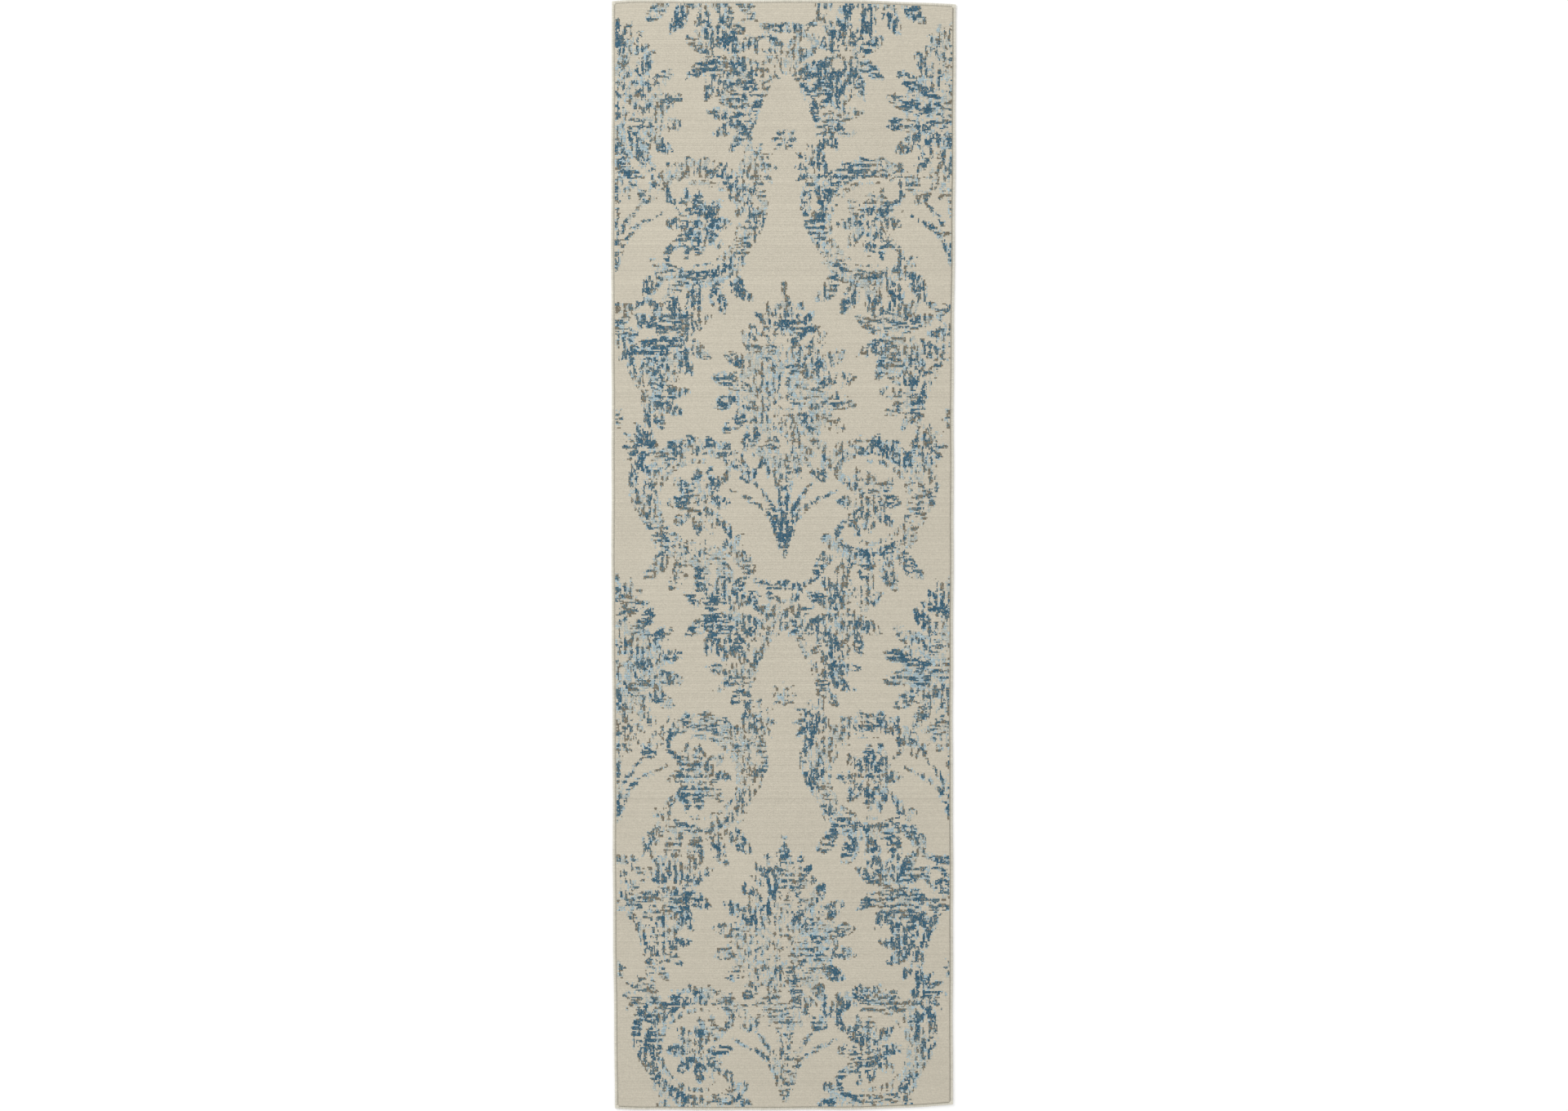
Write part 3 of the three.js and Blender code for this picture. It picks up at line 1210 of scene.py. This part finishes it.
@dataclass
class Pile:
    """The cut pile: ivory all over, with the figure's yarns standing in it.

    Attributes:
        cut: where the rug lies.
        figure: the yarn of each tuft, by rows from the head and columns from the left.
        groove: how deep the line between two rows of tufts is.
        swell: how far the surface rises and falls.
        proud: how far the figure's yarns stand above the ivory.
        column: the spacing of the ivory's vertices across.
        seed: the seed of its unevenness.
        flare: how far the figure's outermost tufts lean out over the stitches.
        insets: the profile of the pile's sides from foot to top, inward from its box.
        drops: how far each point of that profile lies below the top.
    """

    cut: Cut
    figure: np.ndarray
    groove: float = 0.35 * MM
    swell: float = 0.18 * MM
    proud: float = 0.15 * MM
    column: float = 15 * MM
    seed: int = 7
    flare: float = 1.5 * MM
    insets: tuple[float, ...] = (0.0, -0.4 * MM, -1.6 * MM, -2.0 * MM, -1.5 * MM, -0.4 * MM,
                                 1.4 * MM)
    drops: tuple[float, ...] = (6.2 * MM, 4.9 * MM, 3.0 * MM, 1.6 * MM, 0.6 * MM, 0.15 * MM, 0.0)

    def __post_init__(self) -> None:
        """Takes the pile's box from the model, and works out the pitch of its tufts."""
        self.low, self.high = node_box("pile_field")
        self.rows, self.cols = self.figure.shape
        self.pitch = (self.high - self.low)[:2] / (self.cols, self.rows)
        self.rng = np.random.default_rng(self.seed)
        self.row_shade = self.rng.normal(0, 0.022, self.rows + 1)

    def wave(self, x: np.ndarray, y: np.ndarray) -> np.ndarray:
        """The rise and fall of the surface: the mean of three slow crossing sine waves."""
        return self.swell / 3 * (np.sin(7 * x + 3 * y) + np.sin(13 * y - 4 * x + 1)
                                 + np.sin(23 * x + 17 * y + 2))

    def shoulder(self, low: float, high: float, between: np.ndarray) -> tuple[np.ndarray, np.ndarray]:
        """The profile of the pile from one of its sides to the other.

        Args:
            low: where one side lies.
            high: where the other lies.
            between: positions to keep between its two shoulders.

        Returns:
            The positions, and how far the surface lies below the pile's top at each.
        """
        insets, drops = np.array(self.insets), np.array(self.drops)
        inner = between[(between > low + insets[-1]) & (between < high - insets[-1])]
        spots = np.concatenate([low + insets, inner, high - insets[::-1]])
        return spots, np.concatenate([drops, np.zeros(len(inner)), drops[::-1]])

    def build_ivory(self) -> bpy.types.Object:
        """Builds the ivory pile as one closed slab with a ridge for each row of tufts.

        The top is a grid. Its height is the pile's, less the larger of the two drops of its
        column and row, less the groove on every second row of vertices, plus the slow waves.
        The outermost vertices lie on the ground weave, and strips across close the underside.
        """
        count = int(round((self.high[0] - self.low[0]) / self.column))
        xs, drop_x = self.shoulder(self.low[0], self.high[0],
                                   np.linspace(self.low[0], self.high[0], count))
        steps = self.low[1] + np.arange(2 * self.rows + 1) * self.pitch[1] / 2
        ys, drop_y = self.shoulder(self.low[1], self.high[1], steps)
        x, y = np.meshgrid(xs, ys)
        drop = np.maximum(drop_x[None, :], drop_y[:, None])
        step = (y - self.low[1]) / self.pitch[1]
        ridge = np.abs(np.sin(np.pi * step))
        flat = drop < self.drops[-2] / 2
        z = self.high[2] - drop + flat * (self.wave(x, y) - self.groove * (1 - ridge))
        points = np.stack([x, y, z], axis=-1).reshape(-1, 3)
        tall, wide = x.shape
        top = grid_quads(tall, wide)
        row = np.arange(1, tall - 2)[:, None] * wide
        under = np.hstack([row, row + wide, row + 2 * wide - 1, row + wide - 1])
        first = np.concatenate([np.arange(wide)[::-1], [wide, 2 * wide - 1]])
        last = np.concatenate([(tall - 1) * wide + np.arange(wide), [(tall - 1) * wide - 1,
                                                                     (tall - 2) * wide]])
        quads = np.vstack([top, under])
        places = strip_places(points, quads, self.low, self.high)
        places[4 * len(top):] = places[4 * len(top):] * 0.01
        spare = np.full((len(first) + len(last), 2), 0.004)
        piece = add_mesh("pile_ivory", self.cut.settle(points), quads, [first, last],
                         np.vstack([places, spare]))
        put_shade(piece, self.row_shade[np.clip(step.astype(int), 0, self.rows)])
        put_tufts(piece, self.among_tufts(points))
        return piece

    def among_tufts(self, points: np.ndarray) -> np.ndarray:
        """Where points lie among the tufts, counted from the pile's lowest corner."""
        return (points - self.low) / (*self.pitch, self.pitch[0])

    def runs(self, yarn: Yarn, longest: int = 4) -> tuple[np.ndarray, np.ndarray, np.ndarray]:
        """The runs of one yarn along the rows, none longer than a few tufts.

        Args:
            yarn: the yarn.
            longest: the most tufts in a run.

        Returns:
            Each run's row, its first column and the column after its last.
        """
        mask = np.zeros((self.rows, self.cols + 2), bool)
        mask[:, 1:-1] = self.figure == yarn
        slide = self.rng.integers(0, longest, self.rows)[:, None]
        fresh = (np.arange(self.cols + 2)[None, :] + slide) % longest == 0
        starts = mask[:, 1:] & (~mask[:, :-1] | fresh[:, 1:])
        ends = mask[:, :-1] & (~mask[:, 1:] | fresh[:, 1:])
        row, first = np.nonzero(starts)
        _, after = np.nonzero(ends)
        return row, first, after

    def build_yarn(self, yarn: Yarn) -> bpy.types.Object:
        """Builds the tufts of one yarn of the figure.

        Each run of tufts is a closed block of six faces: its foot is wider than the row and
        sunk below the groove, and its top is drawn in and stands a little above the ivory.
        Within 6 mm of a side, points move out by the flare times the square of the nearness.

        Args:
            yarn: the yarn.

        Returns:
            The piece, not dressed yet.
        """
        row, first, after = self.runs(yarn)
        count = len(row)
        jitter = self.rng.uniform(-0.22, 0.22, (2, count)) * self.pitch[0]
        left = self.low[0] + first * self.pitch[0] + jitter[0]
        right = self.low[0] + after * self.pitch[0] + jitter[1]
        middle = self.high[1] - (row + 0.5) * self.pitch[1]
        half = self.pitch[1] / 2
        level = self.high[2] + self.wave((left + right) / 2, middle)
        level = level + self.rng.uniform(-0.08, 0.08, count) * MM
        foot, top = level - self.groove - 0.45 * MM, level + self.proud
        corners = []
        for dx, dy, z in ((-0.2 * MM, -0.25 * MM, foot), (0.3 * MM, 0.3 * MM, top)):
            for side_x, side_y in ((-1, -1), (1, -1), (1, 1), (-1, 1)):
                x = left + dx if side_x < 0 else right - dx
                stray = self.rng.uniform(-0.18, 0.18, (2, count)) * MM * (z is top)
                corners.append(np.stack([x + stray[0], middle + side_y * (half - dy) + stray[1],
                                         z], axis=-1))
        points = np.stack(corners, axis=1)
        block = np.array([[4, 5, 6, 7], [0, 1, 5, 4], [1, 2, 6, 5], [2, 3, 7, 6], [3, 0, 4, 7],
                          [3, 2, 1, 0]])
        quads = (block[None] + 8 * np.arange(count)[:, None, None]).reshape(-1, 4)
        points = points.reshape(-1, 3)
        near = np.clip(1 - np.minimum(points - self.low, self.high - points)[:, :2] / (6 * MM), 0, 1)
        out = np.sign(points - (self.low + self.high) / 2)[:, :2]
        points[:, :2] += self.flare * near**2 * out
        places = strip_places(points, quads, self.low, self.high)
        places.reshape(count, 6, 4, 2)[:, 5] *= 0.01
        piece = add_mesh(f"pile_{yarn.name.lower()}", self.cut.settle(points), quads, [], places)
        shade = self.rng.normal(0, 0.08, count) + self.row_shade[row] * 1.5
        put_shade(piece, np.repeat(shade, 8))
        put_tufts(piece, self.among_tufts(points))
        return piece

    def build(self, effects: Effects) -> None:
        """Builds and dresses every yarn."""
        ivory = self.build_ivory()
        dress(ivory, PILE_FINISHES[Yarn.IVORY].build(effects), "pile", "pile_field")
        for yarn in list(Yarn)[1:]:
            dress(self.build_yarn(yarn), PILE_FINISHES[yarn].build(effects), "pile", "pile_field")


# ---------------------------------------------------------------- the cloth under the pile


@dataclass
class Ground:
    """The woven ground that the pile stands in, notched at its corners for the whipping.

    Attributes:
        cut: where the rug lies.
        rib: the spacing of its ribs.
        depth: how deep the line between two ribs is.
        notch: how far in its corners are cut.
    """

    cut: Cut
    rib: float = 2.5 * MM
    depth: float = 0.3 * MM
    notch: float = 2.9 * MM

    def build(self, effects: Effects) -> None:
        """Builds the cloth as closed sections across it, carried along it.

        Each section is a flat band, thinner by the depth of a rib at every second section, and
        narrower by the notch at both ends.
        """
        low, high = node_box("ground_weave")
        count = 2 * int(round((high[1] - low[1]) / self.rib)) + 1
        y = np.linspace(low[1], high[1], count)
        share = np.array([-1, -0.66, -0.33, 0, 0.33, 0.66, 1.0])
        ridge = np.arange(count) % 2
        near_end = np.minimum(y - low[1], high[1] - y) < self.notch
        half = (high[0] - low[0]) / 2 - self.notch * near_end
        across = np.concatenate([-share, share])[None, :] * half[:, None]
        squeeze = self.depth * (1 - ridge)[:, None] / 2
        upper = np.repeat(high[2] - squeeze, len(share), axis=1)
        lower = np.repeat(low[2] + squeeze, len(share), axis=1)
        z = np.concatenate([lower, upper], axis=1)
        rings = np.stack([across, np.broadcast_to(y[:, None], across.shape), z], axis=-1)
        piece = swept("ground_cloth", self.cut.settle(rings), 2 * (high[0] - low[0]))
        dress(piece, GROUND.build(effects), "ground_weave", "ground_weave")


@dataclass
class Back:
    """The sized back, with the ribs of the weave and a ghost of the figure showing through.

    Attributes:
        cut: where the rug lies.
        figure: the yarn of each tuft.
        rib: the spacing of its sections.
        depth: how deep the line between two ribs is.
        columns: vertices across its underside.
        ghost: how dark the figure shows, from 0 to 1.
    """

    cut: Cut
    figure: np.ndarray
    rib: float = 2.5 * MM
    depth: float = 0.22 * MM
    columns: int = 64
    ghost: float = 0.2

    def build(self, effects: Effects) -> None:
        """Builds the coat as closed sections across it, carried along it.

        The upper side is flat. The lower side rises by the depth of a rib at every second
        section, and each of its vertices is darker by its share of figured tufts nearby.
        """
        low, high = node_box("back_coat")
        count = int(round((high[1] - low[1]) / self.rib)) + 1
        y = np.linspace(high[1], low[1], count)
        under = np.linspace(-1, 1, self.columns)
        share = np.concatenate([under, [1.0, 0.0, -1.0]])
        half = (high[0] - low[0]) / 2
        rise = self.depth * (np.arange(count) % 2)[:, None]
        z = np.concatenate([np.repeat(low[2] + rise, self.columns, axis=1),
                            np.full((count, 3), high[2])], axis=1)
        x = np.broadcast_to(share * half, z.shape)
        rings = np.stack([x, np.broadcast_to(y[:, None], z.shape), z], axis=-1)
        piece = swept("back_cloth", self.cut.settle(rings)[:, ::-1], 2 * (high[0] - low[0]))
        shown = (self.figure > 0).astype(float)
        spread = np.ones(5) / 5
        for axis in (0, 1):
            shown = np.apply_along_axis(np.convolve, axis, shown, spread, "same")
        rows = np.linspace(0, self.figure.shape[0] - 1, count).astype(int)
        cols = ((share + 1) / 2 * (self.figure.shape[1] - 1)).astype(int)
        put_shade(piece, -self.ghost * shown[np.ix_(rows, cols)][:, ::-1])
        dress(piece, BACK.build(effects), "back_coat", "back_coat")


# ---------------------------------------------------------------- the bound edges


@dataclass
class Serging:
    """The yarn wound round the edge cord: one side of the rug.

    Attributes:
        cut: where the rug lies.
        edge: the side.
        turn: the width of one turn of yarn.
        depth: how deep the line between two turns is.
        dim: how dark the painted shade in that line is, from 0 to 1.
        reach: how far each end runs on under the whipping of the corner.
        slant: how far a turn leans between the top of the bead and its underside.
        samples: sections a turn.
        seed: the seed of its unevenness.
    """

    cut: Cut
    edge: Edge
    turn: float = 2.6 * MM
    depth: float = 0.5 * MM
    dim: float = 0.22
    reach: float = 0.12 * MM
    slant: float = 1.4 * MM
    samples: int = 4
    seed: int = 31

    def section(self) -> tuple[np.ndarray, np.ndarray, np.ndarray]:
        """The closed section of the binding: a bead with two lips that grip the ground.

        It runs counterclockwise: out along the lower lip, back inside it, round the inside of
        the bead, out and back along the upper lip, and round the outside of the bead.

        Returns:
            Each point's inset and height, and whether it lies outside, where the turns show.
        """
        low, high = node_box(f"serging_{self.edge.label}")
        bead = (high[2] - low[2]) / 2
        width = (high - low)[0 if self.edge.is_long else 1]
        wall = node_box("back_coat")[1][2]
        lip = node_box("ground_weave")[1][2] + 0.3 * MM
        within = np.radians([-80, -130, 180, 130, 85, 35])
        round_it = np.radians([18, 45, 75, 105, 135, 165, 195, 225, 250, 270])
        hole = bead - wall
        inset = np.concatenate([[width * 0.72, width, width, 1.6 * bead],
                                bead + hole * np.cos(within), [1.8 * bead, width, width, 2.15 * bead],
                                bead + bead * np.cos(round_it)])
        z = np.concatenate([[0, 0.05 * MM, wall - 0.1 * MM, wall - 0.05 * MM],
                            bead + hole * np.sin(within),
                            [lip, lip + 0.05 * MM, lip + wall - 0.15 * MM, lip + wall],
                            bead + bead * np.sin(round_it)])
        outside = np.concatenate([[1, 0.5], np.zeros(9), [0, 0.5, 1], np.ones(len(round_it))])
        return inset, z, outside

    def build(self, finish: bpy.types.Material) -> None:
        """Builds the winding: the section carried along the edge, drawn in between turns.

        Outside, a point lies nearer the cord by the depth times one less the 0.7th power of
        the sine of its turn, and is moved along by the slant times its height.
        """
        name = f"serging_{self.edge.label}"
        low, high = node_box(name)
        length = (high - low)[1 if self.edge.is_long else 0] + 2 * self.reach
        bead = (high[2] - low[2]) / 2
        inset, z, outside = self.section()
        turns = int(round(length / self.turn))
        rng = np.random.default_rng(self.seed + list(Edge).index(self.edge))
        count = turns * self.samples + 1
        phase = np.arange(count) / self.samples
        which = np.minimum(phase.astype(int), turns - 1)
        ridge = np.abs(np.sin(np.pi * phase)) ** 0.7
        full = rng.uniform(0.55, 1.0, turns)[which]
        slack = self.depth * (1 - ridge * full)
        s = (phase / turns - 0.5) * length
        stray = np.interp(phase, np.arange(turns + 1), rng.uniform(-0.3, 0.3, turns + 1) * MM)
        ease = np.clip(np.minimum(phase, turns - phase) / 4, 0, 1)
        lean = (ease * self.slant)[:, None] * ((z - bead) / bead * outside)[None, :]
        s = (s + stray * ease)[:, None] + lean
        pull = slack[:, None] * outside[None, :]
        away = np.hypot(inset - bead, z - bead)
        toward = np.stack([(bead - inset) / away, (bead - z) / away])
        deep = inset[None, :] + pull * np.clip(toward[0], -1, 1) * (inset < 2 * bead)
        tall = z[None, :] + pull * toward[1]
        rings = self.cut.along(self.edge, s, deep, tall)
        girth = float(np.hypot(np.diff(inset, append=inset[0]), np.diff(z, append=z[0])).sum())
        piece = swept(f"wound_edge_{self.edge.label}", rings, girth)
        # Painted shade: darker by dim in the lines between turns, on the outside; plus random tone for
        # each turn.
        tone = rng.normal(0, 0.03, turns)[which]
        put_shade(piece, (tone - self.dim * (1 - ridge * full))[:, None] * outside[None, :])
        dress(piece, finish, "serging", name)


@dataclass
class CornerWhip:
    """The yarn wound over one corner, where two sides of the serging meet.

    Attributes:
        cut: where the rug lies.
        end: the end of the rug, head or foot.
        side: its side, left or right.
        turn: the width of one turn of yarn.
        depth: how deep the line between two turns is.
        dim: how dark the painted shade in that line is, from 0 to 1.
        lap: how far the winding laps over the ends of the serging.
        rings: levels from its underside to its top.
        sides: vertices in a level.
    """

    cut: Cut
    end: str
    side: str
    turn: float = 2.0 * MM
    depth: float = 0.4 * MM
    dim: float = 0.22
    lap: float = 0.9 * MM
    rings: int = 30
    sides: int = 72

    def build(self, finish: bpy.types.Material) -> None:
        """Builds the corner as a rounded block, grooved by turns that cross its diagonal.

        Each level is a superellipse of power 5, shrunk towards the top and the underside by a
        superellipse of power 2.6. Its inner half laps over the serging.
        """
        name = f"corner_whip_{self.end}_{self.side}"
        low, high = node_box(name)
        out = np.array([1 if self.side == "right" else -1, 1 if self.end == "head" else -1, 0])
        half = (high - low) / 2 + self.lap / 2 * np.abs(out)
        centre = (low + high) / 2 - self.lap / 2 * out
        climb = np.linspace(-0.99, 0.99, self.rings)[:, None]
        shrink = (1 - np.abs(climb) ** 2.6) ** (1 / 2.6)
        turn = np.arange(self.sides)[None, :] * 2 * np.pi / self.sides
        span = (np.abs(np.cos(turn)) ** 5 + np.abs(np.sin(turn)) ** 5) ** -0.2
        x = half[0] * shrink * span * np.cos(turn)
        y = half[1] * shrink * span * np.sin(turn)
        across = (x * out[0] - y * out[1]) / np.sqrt(2)
        ridge = np.abs(np.sin(np.pi * across / self.turn + np.pi / 2)) ** 0.7
        keep = 1 - self.depth / half[0] * (1 - ridge)
        z = half[2] * climb * np.ones_like(turn) * (0.6 + 0.4 * keep)
        rings = centre + np.stack([x * keep, y * keep, z], axis=-1)
        piece = swept(f"wound_corner_{self.end}_{self.side}", self.cut.settle(rings),
                      4 * (half[0] + half[1]))
        # Painted shade: darker by dim in the lines between turns.
        put_shade(piece, -self.dim * (1 - ridge))
        dress(piece, finish, "serging", name)


@dataclass
class FillerCord:
    """The plied cord inside the serging of one side.

    Attributes:
        cut: where the rug lies.
        edge: the side.
        lay: the length in which it turns once.
        plies: how many plies it has.
        samples: sections in a lay.
        sides: vertices in a section.
    """

    cut: Cut
    edge: Edge
    lay: float = 18 * MM
    plies: int = 3
    samples: int = 9
    sides: int = 12

    def build(self, finish: bpy.types.Material) -> None:
        """Builds the cord: a three-lobed section that turns once in each lay."""
        name = f"filler_cord_{self.edge.label}"
        low, high = node_box(name)
        length = (high - low)[1 if self.edge.is_long else 0]
        radius = (high[2] - low[2]) / 2
        height = (high[2] + low[2]) / 2
        count = int(length / self.lay * self.samples) + 1
        s = np.linspace(-length / 2, length / 2, count)[:, None]
        turn = np.arange(self.sides)[None, :] * 2 * np.pi / self.sides
        lobe = np.abs(np.cos(self.plies / 2 * (turn - 2 * np.pi * s / self.lay)))
        reach = radius * (0.76 + 0.24 * lobe)
        rings = self.cut.along(self.edge, s, height + reach * np.cos(turn),
                               height + reach * np.sin(turn))
        piece = swept(f"plied_cord_{self.edge.label}", rings, 2 * np.pi * radius)
        dress(piece, finish, "filler_cord", name)


@dataclass
class SeamThread:
    """The stitches that hold one side's serging to the ground.

    Attributes:
        cut: where the rug lies.
        edge: the side.
        pitch: the spacing of the stitches.
        gap: how far apart two of them lie.
        seed: the seed of their unevenness.
    """

    cut: Cut
    edge: Edge
    pitch: float = 5 * MM
    gap: float = 0.8 * MM
    seed: int = 53

    def build(self, finish: bpy.types.Material) -> None:
        """Builds the row of stitches, each a six-sided spindle that dips at both ends.

        Its radius follows the fourth root of one less the fourth power of the share of its
        half length, and its height falls as the square of that share.
        """
        name = f"seam_thread_{self.edge.label}"
        low, high = node_box(name)
        size = high - low
        length, thick = (size[1], size[0]) if self.edge.is_long else (size[0], size[1])
        near = {Edge.LEFT: low[0] + self.cut.half_width,
                Edge.RIGHT: self.cut.half_width - high[0],
                Edge.HEAD: self.cut.half_length - high[1],
                Edge.FOOT: low[1] + self.cut.half_length}[self.edge]
        middle = near + thick / 2
        count = int(length / self.pitch)
        rng = np.random.default_rng(self.seed + list(Edge).index(self.edge))
        centre = (np.arange(count) + 0.5) * self.pitch - count * self.pitch / 2
        share = np.array([-0.98, -0.7, 0.0, 0.7, 0.98])[None, :, None]
        turn = (np.arange(6) * np.pi / 3)[None, None, :]
        radius = thick / 2 * (1 - share**4) ** 0.25
        tilt = rng.uniform(-0.12, 0.12, count)[:, None, None] * MM
        s = centre[:, None, None] + share * (self.pitch - self.gap) / 2 + 0 * turn
        inset = middle + tilt * share + radius * np.cos(turn)
        z = low[2] + thick / 2 - 0.25 * MM * share**2 + radius * np.sin(turn)
        points = self.cut.along(self.edge, s, inset, z).reshape(-1, 3)
        spindle = np.vstack([grid_quads(5, 6, closed=True), [[3, 2, 1, 0], [5, 4, 3, 0],
                                                             [24, 25, 26, 27], [24, 27, 28, 29]]])
        quads = (spindle[None] + 30 * np.arange(count)[:, None, None]).reshape(-1, 4)
        which, part = np.divmod(np.arange(len(quads)), len(spindle))
        start = which[:, None] * self.pitch + np.array([0.1, 0.1, 0.9, 0.9]) * self.pitch
        lane = (part[:, None] + np.array([0.1, 0.9, 0.9, 0.1])) / len(spindle)
        places = folded_places(start, lane, count * self.pitch, 1.0)
        piece = add_mesh(f"stitches_{self.edge.label}", points, quads, [], places)
        dress(piece, finish, "seam_thread", name)


# ---------------------------------------------------------------- the studio


@dataclass
class Studio:
    """The floor, the light and the camera.

    Attributes:
        distance: from the camera to the rug's middle.
        tilt: how far the camera leans over towards the head, in degrees.
        aim: how far towards the head of the middle it points.
        lens: its focal length, in millimetres on a sensor 36 wide.
        sky: the strength of the even light.
        key: the power of the soft lamp.
        floor: the floor's finish.
    """

    distance: float = 6.0
    tilt: float = 2.9
    aim: float = 0.009
    lens: float = 68.6
    sky: float = 0.95
    key: float = 62.0
    floor: FloorFinish = field(default_factory=FloorFinish)

    def build(self) -> None:
        """Builds all of it."""
        self.build_camera()
        self.build_light()
        self.build_floor()

    def build_camera(self) -> None:
        """A camera above the rug, with the head of the rug at the top of the picture."""
        lens = bpy.data.cameras.new("camera")
        lens.lens = self.lens
        lens.sensor_width = 36.0
        lens.clip_end = 100.0
        eye = bpy.data.objects.new("camera", lens)
        lean = np.radians(self.tilt)
        eye.location = (0.0, self.aim + self.distance * np.sin(lean), self.distance * np.cos(lean))
        eye.rotation_euler = (-lean, 0.0, 0.0)
        bpy.context.scene.collection.objects.link(eye)
        bpy.context.scene.camera = eye

    def build_light(self) -> None:
        """An even white surround, and a large soft lamp to the left of the head."""
        world = bpy.data.worlds.new("surround")
        world.use_nodes = True
        surround = world.node_tree.nodes["Background"]
        surround.inputs["Color"].default_value = (1, 1, 1, 1)
        surround.inputs["Strength"].default_value = self.sky
        bpy.context.scene.world = world
        lamp = bpy.data.lights.new("soft_lamp", "AREA")
        lamp.shape = "DISK"
        lamp.size = 2.4
        lamp.energy = self.key
        holder = bpy.data.objects.new("soft_lamp", lamp)
        spot = np.array([-2.2, 2.2, 3.5])
        holder.location = spot
        toward = np.array([0.0, 0.3, 0.0]) - spot
        flat = np.hypot(toward[0], toward[1])
        holder.rotation_euler = (np.arctan2(flat, -toward[2]), 0.0,
                                 np.arctan2(toward[1], toward[0]) - np.pi / 2)
        bpy.context.scene.collection.objects.link(holder)
        bpy.context.scene.view_settings.view_transform = "Standard"

    def build_floor(self) -> None:
        """A wide plain floor just under the rug."""
        reach, drop = 20.0, 0.0002
        corners = np.array([[-reach, -reach, -drop], [reach, -reach, -drop],
                            [reach, reach, -drop], [-reach, reach, -drop]])
        floor = add_mesh("floor", corners, np.array([[0, 1, 2, 3]]))
        floor.data.materials.append(self.floor.build())
        floor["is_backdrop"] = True


# ---------------------------------------------------------------- the rug


@dataclass
class Runner:
    """The whole rug, in the order in which it is made.

    Attributes:
        pitch: the spacing of the tufts.
        wear: how the figure is worn.
        repeat: the figure's repeat.
    """

    pitch: float = 2.5 * MM
    wear: Wear = field(default_factory=Wear)
    repeat: Repeat = field(default_factory=Repeat)

    def cut(self) -> Cut:
        """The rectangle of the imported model."""
        low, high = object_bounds()
        return Cut(half_width=(high[0] - low[0]) / 2, half_length=(high[1] - low[1]) / 2)

    def figure(self, cut: Cut) -> np.ndarray:
        """The yarn of each tuft, by rows from the head and columns from the left."""
        low, high = node_box("pile_field")
        cols, rows = (int(round(side / self.pitch)) for side in (high - low)[:2])
        x = low[0] + (np.arange(cols) + 0.5) * (high[0] - low[0]) / cols
        y = high[1] - (np.arange(rows) + 0.5) * (high[1] - low[1]) / rows
        strength, depth = self.repeat.lay(x / MM, (cut.half_length - y) / MM)
        return self.wear.figure(strength, depth)

    def build(self, effects: Effects) -> None:
        """Builds every piece."""
        cut = self.cut()
        figure = self.figure(cut)
        Pile(cut, figure).build(effects)
        Ground(cut).build(effects)
        Back(cut, figure).build(effects)
        serging, cord, stitch = (made.build(effects) for made in (SERGING, CORD, STITCH))
        for edge in Edge:
            Serging(cut, edge).build(serging)
            FillerCord(cut, edge).build(cord)
            SeamThread(cut, edge).build(stitch)
        for end in ("head", "foot"):
            for side in ("left", "right"):
                CornerWhip(cut, end, side).build(serging)


def main() -> None:
    """Builds the rug and the studio."""
    logging.basicConfig(level=logging.INFO, format="%(name)s: %(message)s")
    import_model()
    Studio().build()
    Runner().build(Effects.build())


if __name__ == "__main__":
    main()
